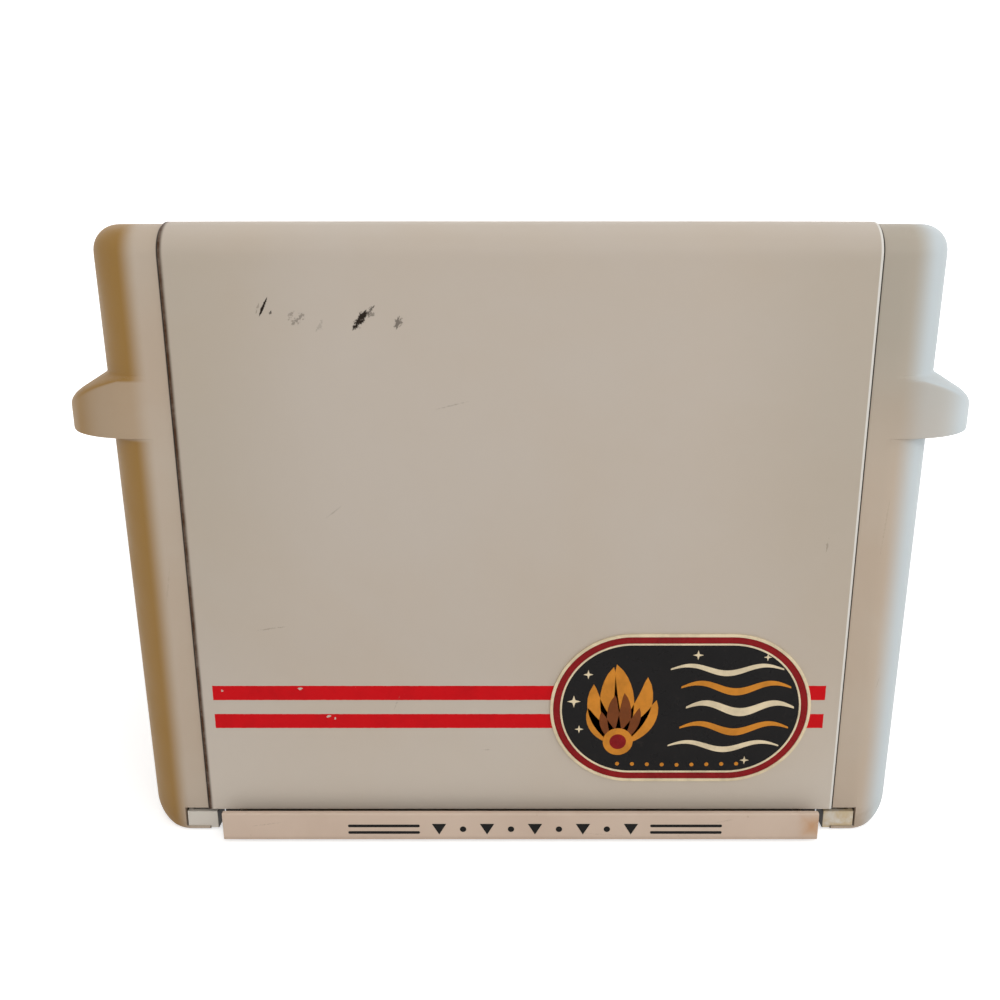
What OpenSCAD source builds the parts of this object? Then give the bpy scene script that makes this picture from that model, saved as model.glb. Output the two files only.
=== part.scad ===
// Pop-up toaster for two hot dogs and two buns: a wrap-around sheet cover between two moulded end
// caps, a sprung rack for the food, four heater cards and a crumb tray that pulls out at the front.
// X runs along the toaster, the front faces -Y, and the table is at Z = 0.

/* [Body] */
// Width across the end caps, without the grip ribs
body_w = 284; // [280:1:300]
// Depth from the front sheet to the rear sheet
body_d = 178; // [174:1:192]
// Height from the table to the top of the sheet cover
body_h = 219; // [216:1:230]
// Gap between the table and the end caps
foot_gap = 0.5; // [0.4:0.1:2]

/* [Sheet cover] */
// Width of the wrap-around cover
cover_w = 229; // [226:0.5:231]
// Thickness of the cover sheet
cover_t = 0.8; // [0.6:0.1:1.2]
// Bend radius along the cover's top edges
cover_bend = 11; // [8:0.5:14]
// Height of the cover's bottom edge
cover_z0 = 9.4; // [8.4:0.1:10]

/* [End caps] */
// Wall of the moulded end caps
cap_wall = 2.6; // [2:0.1:3.2]
// How far the cap faces lie behind the cover's
cap_sink = 0.8; // [0.8:0.1:1.5]
// Radius of the caps' upright corners
cap_corner = 22; // [16:0.5:26]
// Radius over the top end edge of a cap
cap_top_bend = 12; // [8:0.5:16]
// Radius under the bottom end edge of a cap
cap_base_bend = 11; // [8:0.5:16]
// Draft of the caps' end faces
cap_draft = 0.8; // [0:0.05:1]
// Gap between a cap and the cover's edge
seam_gap = 0.4; // [0.2:0.1:0.8]
// How far a cap's tongue reaches under the cover
tongue_l = 5; // [3:0.5:7]
// Width of the notch beside the tray
notch_w = 9; // [7:0.5:12]
// Height of the notch beside the tray
notch_h = 9; // [8.5:0.5:11]

/* [Grip ribs] */
// Reach of a grip rib beyond the body's centre
rib_reach = 159.5; // [152:0.5:162]
// Radius of the rib round the upright corners
rib_corner = 33.5; // [28:0.5:36]
// Height of the rib's flat underside
rib_z = 149.5; // [130:0.5:160]
// Radius of the rib's lower edge
rib_low_r = 6.5; // [5:0.5:7]
// Radius of the rib's upper edge
rib_high_r = 2; // [1.5:0.5:6]
// Height from the underside to the rib's widest point
rib_belly = 7; // [7:0.5:14]
// Slope of the rib's upper face
rib_slope = 30; // [25:1:45]

/* [Top openings] */
// Length of a bun slot
slot_l = 120; // [90:1:150]
// Width of a bun slot
slot_w = 36; // [30:1:38]
// Distance of a bun slot from the middle
slot_y = 46; // [45:0.5:48]
// Diameter of a hot dog opening
hole_d = 40; // [38:0.5:42]
// Distance of a hot dog opening from the middle
hole_x = 38; // [30:1:60]
// Height of the bright collars' rim under the cover's face
collar_sink = 0.4; // [0:0.1:1]

/* [Inner chassis] */
// Depth of the control compartment in the right end
mech_depth = 42; // [40:0.5:46]
// Thickness of the chassis sheets
sheet_t = 0.8; // [0.6:0.1:1.2]
// Distance of the outer reflectors from the middle
reflector_y = 77; // [76:0.5:79]
// Height of the base frame's top face
base_z = 12; // [11.5:0.5:14]
// Thickness of the base frame's end plates
base_t = 3; // [2.5:0.1:3.5]
// Width of the base frame's front and rear bars
bar_w = 9; // [7:0.5:9]
// Gap between the chassis top and the cover's top sheet
top_gap = 7.4; // [6:0.2:10]

/* [Heaters] */
// Thickness of a mica card
card_t = 0.8; // [0.6:0.1:1.2]
// Distance of the inner cards from the middle
inner_card_y = 23; // [22.5:0.5:24]
// Distance of the outer cards from the middle
outer_card_y = 71; // [70:0.5:73]
// Half length of the wound part of a card
wound_half = 88; // [80:1:92]
// Number of turns on a card
turns = 14; // [8:1:20]
// Width of the heating ribbon
ribbon_w = 1.6; // [1:0.1:2.4]
// Thickness of the heating ribbon
ribbon_t = 0.25; // [0.2:0.05:0.4]

/* [Guard wires] */
// Diameter of the guard wires
guard_d = 1.6; // [1.2:0.1:2]
// Wires on each side of a bun slot
guard_count = 5; // [3:1:7]
// Spacing of the guard wires
guard_pitch = 28; // [20:1:30]

/* [Lift] */
// Travel of the lift
lift_travel = 75; // [60:1:76]
// Height of the racks' top edge when the lift is up
rack_z = 98; // [97:0.5:104]
// Height of a rack's arm
rack_h = 8; // [6:0.5:9]
// Thickness of a rack's arm
rack_t = 2; // [1.6:0.1:3]
// Reach of the bun rack's cross wires to each side
rack_wire_reach = 14; // [10:0.5:15]
// Diameter of the rack's cross wires
rack_wire_d = 2; // [1.6:0.1:3]
// Diameter of the guide rod
rod_d = 5; // [4:0.1:6]
// Radial clearance of the sliding and turning fits
run_fit = 0.05; // [0.03:0.01:0.08]
// Distance of the guide rod from the chassis plate
rod_offset = 12; // [11:0.5:13]
// Distance of the guide rod from the lever's plane
rod_y = 14; // [13:0.5:15]
// Length of the lift's bushing
bush_l = 30; // [20:1:34]
// Outer diameter of the lift's bushing
bush_d = 11; // [9:0.5:12]
// Thickness of the lever's tongue
tongue_t = 3; // [2:0.1:4]
// Height of the lever's tongue
lever_h = 8; // [6:0.5:10]
// Height of the lever's middle when the lift is up
lever_z = 150; // [149:0.5:152]

/* [Controls] */
// Width of the control panel
panel_w = 60; // [56:1:64]
// Height of the control panel's lower edge
panel_z0 = 24; // [22:1:25]
// Height of the control panel's upper edge
panel_z1 = 174; // [166:1:180]
// Thickness of the control panel
panel_t = 1.2; // [1:0.1:1.6]
// Depth of the knob on the lever
lever_knob_w = 24; // [18:1:26]
// Height of the knob on the lever
lever_knob_h = 18; // [14:1:20]
// Diameter of the dial
dial_d = 30; // [26:0.5:32]
// Height of the dial above the panel
dial_h = 13; // [10:0.5:14.5]
// Distance of the dial from the lever's plane
dial_y = -9; // [-11:0.5:-8]
// Height of the dial and the cancel button
dial_z = 44; // [43:0.5:46]
// Diameter of the dial's shaft
shaft_d = 6; // [5:0.5:7]
// Diameter of the cancel button
button_d = 11; // [9:0.5:12]
// Distance of the cancel button from the lever's plane
button_y = 20; // [19:0.5:22]
// Travel of the cancel button
button_travel = 3; // [2:0.5:3]
// Height of the button above the panel
button_h = 4; // [3.5:0.5:6]

/* [Hot dog baskets] */
// Outer diameter of a basket
basket_d = 35; // [30:0.5:36]
// Height of a basket without its handle
basket_h = 114; // [100:1:116]
// Diameter of the basket wires
basket_wire = 1.8; // [1.4:0.1:2.4]
// Upright wires of a basket
basket_bars = 8; // [6:1:12]

/* [Crumb tray] */
// How far the tray's flanges stay inside the lip's ends
tray_in = 0.2; // [0.2:0.1:4]
// Thickness of the tray's sheet
tray_t = 0.8; // [0.6:0.1:1]
// Height of the tray's floor
tray_z0 = 2.2; // [2:0.1:2.6]
// Height of the tray's side flanges
tray_z1 = 7.6; // [7.2:0.1:7.8]
// Width of the tray's side flanges
flange_w = 3.8; // [3:0.1:4]
// Width of the lip across the front
lip_w = 216; // [210:1:220]
// Height of the lip's top edge
lip_z1 = 12; // [10:0.5:13]
// Thickness of the lip
lip_t = 2; // [1.6:0.1:3]
// Gap between the lip and the cover's front face
lip_gap = 4.5; // [3:0.1:5]

/* [Badge] */
// Width of the raised badge on the front
badge_w = 93; // [70:1:110]
// Height of the raised badge
badge_h = 58; // [40:1:66]
// Distance of the badge from the middle
badge_x = 57; // [40:1:64]
// Height of the badge's centre
badge_z = 50.5; // [42:0.5:60]
// Thickness of the badge plate
badge_t = 0.8; // [0.5:0.1:1.2]
// Width of the badge's raised rim
badge_rim = 2.4; // [1.5:0.1:4]

/* [Fasteners and feet] */
// Diameter of the cap screws
screw_d = 3.5; // [3:0.1:4]
// Diameter of the screw heads
head_d = 7; // [6:0.5:8]
// Height of the screw heads
head_h = 1.2; // [1:0.1:1.6]
// Diameter of a rubber foot
foot_d = 11; // [9:0.5:12]
// Distance of the feet from the middle plane
foot_y = 66; // [60:1:70]
// Diameter of the cord inlet
inlet_d = 7.5; // [6:0.5:9]

/* [Hidden] */
$fn = 48;
eps = 0.01;
over = 1;

// Body and caps
cover_half = cover_w / 2;
front_y = -body_d / 2;
cap_half = body_w / 2;
cap_half_d = body_d / 2 - cap_sink;
cap_top = body_h - cap_sink;
cap_end_bend = cover_bend - cap_sink;
cap_toe = 0.8;
seam_x = cover_half + seam_gap;
tongue_fit = 0.2;
tongue_wall = 2.2;
tongue_z0 = 24;
tongue_x0 = seam_x - seam_gap - tongue_l;
notch_l = 8;
corner_l = 4;
corner_wall = 1.4;
corner_in = 2.9;
pad_t = 4.5;
pad_x = cap_half - pad_t;
floor_z = foot_gap + cap_wall;

// Chassis
chassis_half = cap_half - mech_depth;
plate_x = chassis_half + sheet_t;
chassis_z1 = cap_top - top_gap - cap_sink;
plate_half_d = reflector_y + over;
reflector_foot = 4;
floor_top = base_z + sheet_t;
guide_top = chassis_z1 + sheet_t;
base_fit = 0.3;
tray_fit = 0.4;
tray_w = lip_w - 2 * (flange_w + tray_in);
rail_t = 1.3;
channel_half = tray_w / 2 + flange_w + tray_fit;
channel_wall = 2;
base_post_d = 10;
bar_end = tongue_x0 - base_fit;
rear_bar_z1 = 20;
tab_l = 18;
tab_w = 20;
tab_y = plate_half_d - tab_w / 2;
arm_gap = 1.5;
arm_slot_z0 = floor_top + 0.4;

// Heater cards
card_z0 = floor_top;
card_z1 = chassis_z1;
ear_h = 10;
wound_z0 = card_z0 + ear_h + 6;
wound_z1 = card_z1 - ear_h - 6;

// Lift
lift_x0 = plate_x + 2;
lift_t = 1.6;
lift_x1 = lift_x0 + lift_t;
rod_x = chassis_half + rod_offset;
rod_z0 = base_z - base_t - 3;
top_tab_drop = 12;
top_tab_z = chassis_z1 - top_tab_drop;
top_tab_t = 2;
rod_z1 = top_tab_z + top_tab_t + 2;
beam_half = slot_y + 6;
beam_z0 = rack_z - rack_h - 1;
beam_z1 = rack_z + 6;
riser_half = 20;
riser_z1 = lever_z + lever_h / 2 + 4;
bush_drop = 38;
bush_z0 = lever_z - bush_drop;
magnet_y = -44;
magnet_w = 16;
magnet_h = 24;
magnet_l = 13;
magnet_in = 3.5;
magnet_x0 = rod_x - magnet_in;
keeper_gap = 0.3;
keeper_t = 3;
keeper_z = base_z + magnet_h + keeper_gap + lift_travel;
spring_d = 8;
spring_wire = 0.9;
spring_turns = 16;
spring_y = -rod_y;

// Controls
panel_x1 = cap_half + panel_t;
slot_margin = 1.5;
tongue_x1 = panel_x1 + 8;
knob_gap = 1;
knob_x0 = panel_x1 + knob_gap;
knob_l = 14;
board_t = 1.6;
board_gap = 17.3;
board_x1 = pad_x - board_gap;
board_half = 31;
board_below = 17;
board_above = 22;
board_z0 = dial_z - board_below;
board_z1 = dial_z + board_above;
board_edge = 4;
post_d = 6;
post_y = board_half - board_edge;
board_screw_d = 2.5;
board_screw_l = 7;
board_head_d = 5;
board_head_h = 1;
timer_w = 28;
timer_l = 13.8;
timer_notch = 6;
timer_step = 3;
switch_w = 12;
switch_l = 6.4;
stem_d = 4;
press_turns = 8;
press_wire = 0.7;
press_d = 6;
flange_t = 1;
flange_over = 1.5;
button_flange_x1 = pad_x - 0.3;

// Electrical parts on the base plate
terminal_gap = 1;
power_in = 7.9;
power_y = 44;
power_w = 16;
power_l = 13;
power_h = 20;
blade_w = 3;
blade_t = 1;
blade_h = 7;
terminal_y = 65;
terminal_w = 18;
terminal_l = 10;
terminal_pitch = 5;
terminal_hole = 3;

// Tray
lip_y1 = front_y - lip_gap;
lip_y0 = lip_y1 - lip_t;
lip_z0 = 1.2;
lip_round = 0.8;
tray_y1 = 72;

// Cord inlet in the rear sheet
inlet_x = 88;
inlet_z = 34;
inlet_neck = inlet_d + 4;
inlet_flange = inlet_d + 9;
inlet_flange_t = 3;

// Base screws and feet, in each corner
screw_in = 7;
foot_sink = 1;
foot_in = 6.2;
screw_x = seam_x + screw_in;
screw_y = 42;
foot_x = seam_x + foot_in;
peg_d = 5;

// ---------------------------------------------------------------- shared shapes

// Rectangle from (x0, y0) to (x1, y1) whose lower corners have radius r0 and upper ones r1.
module round_box_2d(x0, x1, y0, y1, r0, r1) {
    translate([x0, y0 + r0]) square([x1 - x0, y1 - y0 - r0 - r1]);
    translate([x0 + r0, y0]) square([x1 - x0 - 2 * r0, y1 - y0 - r1]);
    translate([x0 + r1, y0 + r0]) square([x1 - x0 - 2 * r1, y1 - y0 - r0]);
    for (x = [x0 + r0, x1 - r0]) translate([x, y0 + r0]) circle(r0);
    for (x = [x0 + r1, x1 - r1]) translate([x, y1 - r1]) circle(r1);
}

// Rectangle with four equal corners, centred on the origin.
module round_rect_2d(w, h, r) {
    round_box_2d(-w / 2, w / 2, -h / 2, h / 2, r, r);
}

// Extrudes an outline drawn in (Y, Z) along X, from x0 to x1.
module along_x(x0, x1) {
    translate([x0, 0, 0]) rotate([90, 0, 90]) linear_extrude(x1 - x0) children();
}

// Extrudes an outline drawn in (X, Z) along Y, from y0 to y1.
module along_y(y0, y1) {
    translate([0, y1, 0]) rotate([90, 0, 0]) linear_extrude(y1 - y0) children();
}

// Box between two corners.
module block(low, high) {
    translate(low) cube(high - low);
}

// Round bar along X, Y or Z between two heights on that axis.
module bar_x(x0, x1, y, z, d) {
    translate([x0, y, z]) rotate([0, 90, 0]) cylinder(d = d, h = x1 - x0);
}

module bar_y(x, y0, y1, z, d) {
    translate([x, y0, z]) rotate([-90, 0, 0]) cylinder(d = d, h = y1 - y0);
}

module bar_z(x, y, z0, z1, d) {
    translate([x, y, z0]) cylinder(d = d, h = z1 - z0);
}

// A copy at each end of the toaster.
module both_ends() {
    children();
    mirror([1, 0, 0]) children();
}

// A copy at the front and at the rear.
module front_and_rear() {
    children();
    mirror([0, 1, 0]) children();
}

// Ring of round wire, flat on Z.
module wire_ring(z, ring_r, d) {
    translate([0, 0, z]) rotate_extrude() translate([ring_r, 0]) circle(d = d, $fn = 24);
}

// Tube of a few sides through the points of a path; u and v span its section at each point.
module wire_tube(points, us, vs, d, sides = 6) {
    n = len(points);
    ring = [for (i = [0:n - 1], k = [0:sides - 1])
        points[i] + d / 2 * (cos(360 * k / sides) * us[i] + sin(360 * k / sides) * vs[i])];
    skin = [for (i = [0:n - 2], k = [0:sides - 1], t = [0, 1])
        let (a = i * sides + k, b = i * sides + (k + 1) % sides)
        t == 0 ? [a, b, b + sides] : [a, b + sides, a + sides]];
    ends = [[for (k = [0:sides - 1]) sides - 1 - k], [for (k = [0:sides - 1]) (n - 1) * sides + k]];
    polyhedron(ring, concat(skin, ends));
}

// Coil spring round the Z axis, with both ends closed towards the axis.
module coil(length, d, wire, coils, steps = 10) {
    n = coils * steps;
    rise = length - wire;
    points = [for (i = [0:n]) let (a = 360 * i / steps)
        [d / 2 * cos(a), d / 2 * sin(a), wire / 2 + rise * i / n]];
    us = [for (i = [0:n]) let (a = 360 * i / steps) [cos(a), sin(a), 0]];
    vs = [for (i = [0:n]) [0, 0, 1]];
    wire_tube(points, us, vs, wire);
}

// ---------------------------------------------------------------- end caps and grip ribs

// Front outline of the right cap in (X, Z), shrunk by inset: a drafted side between two bends.
module cap_front_2d(inset) {
    side = [cos(cap_draft), -sin(cap_draft)];
    top = [cap_half - cap_top_bend, cap_top - cap_top_bend];
    low_z = foot_gap + cap_base_bend;
    low_x = top.x - (cap_base_bend - cap_top_bend + (top.y - low_z) * sin(cap_draft)) / cos(cap_draft);
    low = [low_x, low_z];
    top_r = cap_top_bend - inset;
    low_r = cap_base_bend - inset;
    polygon([
        [0, foot_gap + inset], [low.x, foot_gap + inset], low + low_r * side,
        top + top_r * side, [top.x, cap_top - inset], [0, cap_top - inset]
    ]);
    translate(top) circle(top_r);
    translate(low) circle(low_r);
}

// Side outline of a cap in (Y, Z), shrunk by inset.
module cap_side_2d(inset) {
    half = cap_half_d - inset;
    toe = max(cap_toe - inset, 0.5);
    round_box_2d(-half, half, foot_gap + inset, cap_top - inset, toe, cap_end_bend - inset);
}

// Solid space of the right cap from x0 outwards, shrunk by inset.
module cap_space(inset, x0) {
    intersection() {
        translate([0, 0, -over]) linear_extrude(body_h + 2 * over)
            round_rect_2d(2 * (cap_half - inset), 2 * (cap_half_d - inset), cap_corner - inset);
        along_y(-body_d, body_d) cap_front_2d(inset);
        along_x(x0, cap_half + over) cap_side_2d(inset);
    }
}

// Front outline of the right grip rib in (X, Z), shrunk by inset: flat below and sloped above.
module rib_2d(inset) {
    low_r = rib_low_r - inset;
    high_r = max(rib_high_r - inset, 0.5);
    low = [rib_reach - rib_low_r, rib_z + rib_low_r];
    high = [rib_reach - inset - high_r, rib_z + rib_belly];
    shoulder = high + high_r * [sin(rib_slope), cos(rib_slope)];
    root_z = shoulder.y + (shoulder.x - seam_x) * tan(rib_slope);
    polygon([
        [0, rib_z + inset], [low.x, rib_z + inset], low + [low_r, 0], high + [high_r, 0], shoulder,
        [seam_x, root_z], [0, root_z]
    ]);
    translate(low) circle(low_r);
    translate(high) circle(high_r);
}

// The rib round the right cap, shrunk by inset: its front outline within its rounded plan.
module grip_rib(inset) {
    intersection() {
        translate([0, 0, rib_z]) linear_extrude(body_h - rib_z)
            round_rect_2d(2 * (rib_reach - inset), 2 * (cap_half_d - inset), rib_corner - inset);
        along_y(-body_d, body_d) rib_2d(inset);
    }
}

// Screw and foot holes, the notch beside the tray and the chassis side of a cap.
module cap_cuts() {
    front_and_rear() {
        bar_z(screw_x, screw_y, foot_gap - over, floor_z + over, screw_d + 2 * run_fit);
        bar_z(screw_x, screw_y, foot_gap - over, foot_gap + head_h + base_fit, head_d + 2 * base_fit);
        bar_z(foot_x, foot_y, foot_gap - over, floor_z + over, peg_d + 2 * run_fit);
        bar_z(foot_x, foot_y, foot_gap - over, foot_gap + foot_sink, foot_d + 2 * base_fit);
    }
    block([seam_x - over, -body_d, -over],
        [seam_x + notch_w, -cap_half_d + notch_l, foot_gap + notch_h]);
}

// The moulded cap at the right end, with or without the control window's solid pad.
module end_cap(with_controls) {
    difference() {
        union() {
            difference() {
                union() {
                    cap_space(0, seam_x);
                    if (with_controls) difference() {
                        grip_rib(0);
                        block([0, -panel_w / 2 - 4, 0], [body_w, panel_w / 2 + 4, body_h]);
                    } else grip_rib(0);
                }
                cap_space(cap_wall, seam_x - over);
                if (!with_controls) intersection() {
                    grip_rib(cap_wall);
                    block([seam_x, -body_d, 0], [body_w, body_d, body_h]);
                }
                block([0, -body_d, 0], [seam_x, body_d, body_h]);
            }
            // Tongue under the cover's edge
            difference() {
                along_x(tongue_x0, seam_x + eps) cap_side_2d(tongue_fit);
                along_x(tongue_x0 - over, seam_x + over) cap_side_2d(tongue_fit + tongue_wall);
                block([0, -body_d, 0], [body_w, body_d, tongue_z0]);
            }
        }
        cap_cuts();
    }
}

module left_end_cap() {
    color("#b8a68f") mirror([1, 0, 0]) end_cap(false);
}

// Slot for the lever, and holes for the dial's shaft and the cancel button, through the right end.
module control_holes(x0, x1) {
    block([x0, -tongue_t / 2 - slot_margin, lever_z - lever_h / 2 - lift_travel - slot_margin],
        [x1, tongue_t / 2 + slot_margin, lever_z + lever_h / 2 + slot_margin]);
    bar_x(x0, x1, dial_y, dial_z, shaft_d + 2 * run_fit);
    bar_x(x0, x1, button_y, dial_z, button_d + 2 * run_fit);
}

// Pillars inside the right cap that carry the control board.
module board_posts() {
    for (y = [-post_y, post_y], z = [board_z0 + board_edge, board_z1 - board_edge])
        bar_x(board_x1, pad_x + eps, y, z, post_d);
}

module right_end_cap() {
    color("#b8a68f") difference() {
        union() {
            // Drafted wall, cut to a flat seat behind the upright pad
            difference() {
                end_cap(true);
                block([pad_x - cap_wall, -panel_w / 2, panel_z0], [pad_x, panel_w / 2, panel_z1]);
            }
            block([pad_x, -panel_w / 2 - 1, panel_z0 - 1], [cap_half, panel_w / 2 + 1, panel_z1 + 1]);
            board_posts();
        }
        control_holes(pad_x - over, cap_half + over);
        for (y = [-post_y, post_y], z = [board_z0 + board_edge, board_z1 - board_edge])
            bar_x(board_x1 - over, board_x1 + board_screw_l + 2, y, z, board_screw_d);
    }
}

// ---------------------------------------------------------------- cover and badge

// Outlines of the four food openings, grown by grow on every side.
module food_openings_2d(grow) {
    for (y = [-slot_y, slot_y]) translate([0, y])
        round_rect_2d(slot_l + 2 * grow, slot_w + 2 * grow, 6 + grow);
    for (x = [-hole_x, hole_x]) translate([x, 0]) circle(d = hole_d + 2 * grow);
}

module outer_cover() {
    collar_room = sheet_t + 0.4;
    color("#c2b6a5") difference() {
        along_x(-cover_half, cover_half) difference() {
            round_box_2d(-body_d / 2, body_d / 2, cover_z0, body_h, eps, cover_bend);
            translate([-body_d / 2 + cover_t, cover_z0 - over])
                square([body_d - 2 * cover_t, body_h - cover_bend - cover_z0 + over]);
            translate([-body_d / 2 + cover_bend, cover_z0])
                square([body_d - 2 * cover_bend, body_h - cover_t - cover_z0]);
            for (y = [-1, 1]) translate([y * (body_d / 2 - cover_bend), body_h - cover_bend])
                circle(cover_bend - cover_t);
        }
        translate([0, 0, body_h - cover_bend]) linear_extrude(cover_bend + over)
            food_openings_2d(collar_room);
        bar_y(inlet_x, body_d / 2 - 5, body_d / 2 + over, inlet_z, inlet_neck + 2 * run_fit);
    }
}

// Outline of the badge: a rectangle between two half discs.
module badge_2d(inset) {
    round_rect_2d(badge_w - 2 * inset, badge_h - 2 * inset, badge_h / 2 - inset - eps);
}

module badge_plate() {
    field_t = badge_t / 2;
    color("#1a1414") translate([badge_x, 0, badge_z]) {
        along_y(front_y - field_t, front_y) badge_2d(badge_rim / 2);
        along_y(front_y - badge_t, front_y) difference() {
            badge_2d(0);
            badge_2d(badge_rim);
        }
    }
}

// ---------------------------------------------------------------- base and chassis

// One end of the base frame: plate inside the cap, tray channel, rails, posts and corner blocks.
module base_end() {
    intersection() {
        cap_space(cap_wall + base_fit, bar_end - over);
        union() {
            block([bar_end - over, -body_d, base_z - base_t], [body_w, body_d, base_z]);
            front_and_rear() bar_z(screw_x, screw_y, floor_z, base_z, base_post_d);
            bar_z(rod_x, rod_y, floor_z, base_z, base_post_d);
        }
    }
    // Channel wall and the ledge that the tray's flange runs on
    channel_y0 = -cap_half_d + cap_wall + base_fit + 1;
    block([channel_half, channel_y0, tray_z1 - 3], [channel_half + channel_wall, tray_y1 + 8, base_z]);
    block([tray_w / 2 + tray_fit, channel_y0, tray_z1 - tray_t - tray_fit - rail_t],
        [channel_half + eps, tray_y1, tray_z1 - tray_t - tray_fit]);
    // Hollow corner block that shows in the notch, and the web that carries it
    corner_x0 = seam_x - corner_in;
    corner_x1 = seam_x + notch_w - 0.7;
    corner_y0 = -cap_half_d + 0.5;
    web_y0 = -cap_half_d + notch_l - 3;
    difference() {
        block([corner_x0, corner_y0, foot_gap + base_fit],
            [corner_x1, -cap_half_d + notch_l - base_fit, tray_z1]);
        block([corner_x0 + corner_wall, corner_y0 + corner_wall, foot_gap + base_fit + corner_wall],
            [corner_x1 - corner_wall, web_y0, tray_z1 + over]);
    }
    block([seam_x + 2, web_y0, floor_z + base_fit],
        [corner_x1, -cap_half_d + notch_l + corner_l, base_z]);
}

module base_frame() {
    bar_y0 = body_d / 2 - cover_t;
    bar_z0 = max(tray_z1 + tray_fit, cover_z0 + base_fit);
    color("#cfc0a2") difference() {
        union() {
            both_ends() base_end();
            // Front and rear bars between the caps, which the cover is fastened to
            block([-bar_end, -bar_y0, bar_z0], [bar_end, -bar_y0 + bar_w, base_z]);
            block([-bar_end, bar_y0 - bar_w, bar_z0], [bar_end, bar_y0, rear_bar_z1]);
        }
        both_ends() {
            front_and_rear() {
                bar_z(screw_x, screw_y, floor_z - over, base_z + over, screw_d + 2 * run_fit);
                bar_z(plate_x + tab_l - 5, tab_y, base_z - base_t - over, base_z + over,
                    screw_d + 2 * run_fit);
            }
            bar_z(rod_x, rod_y, rod_z0, base_z + over, rod_d + 2 * run_fit);
        }
        both_ends() front_and_rear() bar_z(foot_x, foot_y, 0, floor_z + 2, peg_d + 1);
    }
}

module chassis_floor() {
    color("#a9adb0") difference() {
        block([-chassis_half, -reflector_y, base_z], [chassis_half, reflector_y, floor_top]);
        for (y = [-slot_y, slot_y])
            block([-slot_l / 2 - 8, y - slot_w / 2 + 2, base_z - over],
                [slot_l / 2 + 8, y + slot_w / 2 - 2, floor_top + over]);
        block([-hole_x - hole_d / 2, -hole_d / 2, base_z - over],
            [hole_x + hole_d / 2, hole_d / 2, floor_top + over]);
    }
}

// Upright end sheet of the heating chamber, with a slot for each rack's arm and two foot tabs.
module chassis_plate() {
    difference() {
        union() {
            block([chassis_half, -plate_half_d, base_z], [plate_x, plate_half_d, chassis_z1]);
            front_and_rear() block([chassis_half, tab_y - tab_w / 2, base_z],
                [plate_x + tab_l, tab_y + tab_w / 2, floor_top]);
        }
        for (y = [-slot_y, 0, slot_y])
            block([chassis_half - over, y - rack_t / 2 - arm_gap, arm_slot_z0],
                [plate_x + over, y + rack_t / 2 + arm_gap, rack_z + arm_gap]);
        front_and_rear() bar_z(plate_x + tab_l - 5, tab_y, base_z - over, floor_top + over,
            screw_d + 2 * run_fit);
    }
}

module left_chassis_plate() {
    color("#b4b7ba") mirror([1, 0, 0]) chassis_plate();
}

module right_chassis_plate() {
    color("#b4b7ba") {
        chassis_plate();
        difference() {
            block([plate_x - eps, -riser_half, top_tab_z],
                [rod_x + rod_d + 1, riser_half, top_tab_z + top_tab_t]);
            bar_z(rod_x, rod_y, top_tab_z - over, top_tab_z + top_tab_t + over,
                rod_d + 2 * run_fit);
            bar_z(rod_x, spring_y, top_tab_z - over, top_tab_z + top_tab_t + over, 2);
        }
    }
}

module reflector() {
    block([-chassis_half, reflector_y, floor_top],
        [chassis_half, reflector_y + sheet_t, chassis_z1]);
    block([-chassis_half, reflector_y - reflector_foot, floor_top],
        [chassis_half, reflector_y + eps, floor_top + sheet_t]);
}

module front_reflector() {
    color("#c9cccd") mirror([0, 1, 0]) reflector();
}

module rear_reflector() {
    color("#c9cccd") reflector();
}

module top_guide_plate() {
    rim_z = body_h - collar_sink;
    color("#bfc2c4") {
        translate([0, 0, chassis_z1]) linear_extrude(sheet_t) difference() {
            square([2 * plate_x, 2 * plate_half_d], center = true);
            food_openings_2d(0);
        }
        translate([0, 0, chassis_z1]) linear_extrude(rim_z - chassis_z1) difference() {
            food_openings_2d(sheet_t);
            food_openings_2d(0);
        }
    }
}

// ---------------------------------------------------------------- heaters and guard wires

// Mica card in the plane y, with an ear at each corner that meets the chassis plates.
module mica_card(y) {
    color("#d8cfae") along_y(y - card_t / 2, y + card_t / 2) {
        translate([-wound_half, card_z0]) square([2 * wound_half, card_z1 - card_z0]);
        translate([-chassis_half, card_z0]) square([2 * chassis_half, ear_h]);
        translate([-chassis_half, card_z1 - ear_h]) square([2 * chassis_half, ear_h]);
    }
}

// One unbroken ribbon round a card: level runs in front, sloping runs behind.
module heating_ribbon(y) {
    pitch = (wound_z1 - wound_z0) / turns;
    near = y - card_t / 2 - ribbon_t;
    far = y + card_t / 2;
    half = wound_half + ribbon_t;
    slope = atan(pitch / (2 * half));
    color("#8d8f92") for (i = [0:turns - 1]) {
        z = wound_z0 + i * pitch;
        block([-half, near, z], [half, near + ribbon_t, z + ribbon_w]);
        block([half - ribbon_t, near, z], [half, far + ribbon_t, z + ribbon_w]);
        translate([half, far, z]) rotate([0, slope, 0]) mirror([1, 0, 0])
            cube([2 * half / cos(slope), ribbon_t, ribbon_w]);
        if (i < turns - 1)
            block([-half, near, z + pitch], [-half + ribbon_t, far + ribbon_t, z + pitch + ribbon_w]);
    }
}

// Guard wires on both sides of a bun slot, from the chassis floor to the guide plate.
module guard_wires(y) {
    side = slot_w / 2 + guard_d / 2 + 0.2;
    color("#b8bbbd") for (i = [0:guard_count - 1], s = [-1, 1])
        bar_z((i - (guard_count - 1) / 2) * guard_pitch, y + s * side, floor_top, chassis_z1, guard_d);
}

// ---------------------------------------------------------------- lift

module guide_rod() {
    color("#c8cacc") bar_z(rod_x, rod_y, rod_z0, rod_z1, rod_d);
}

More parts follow.
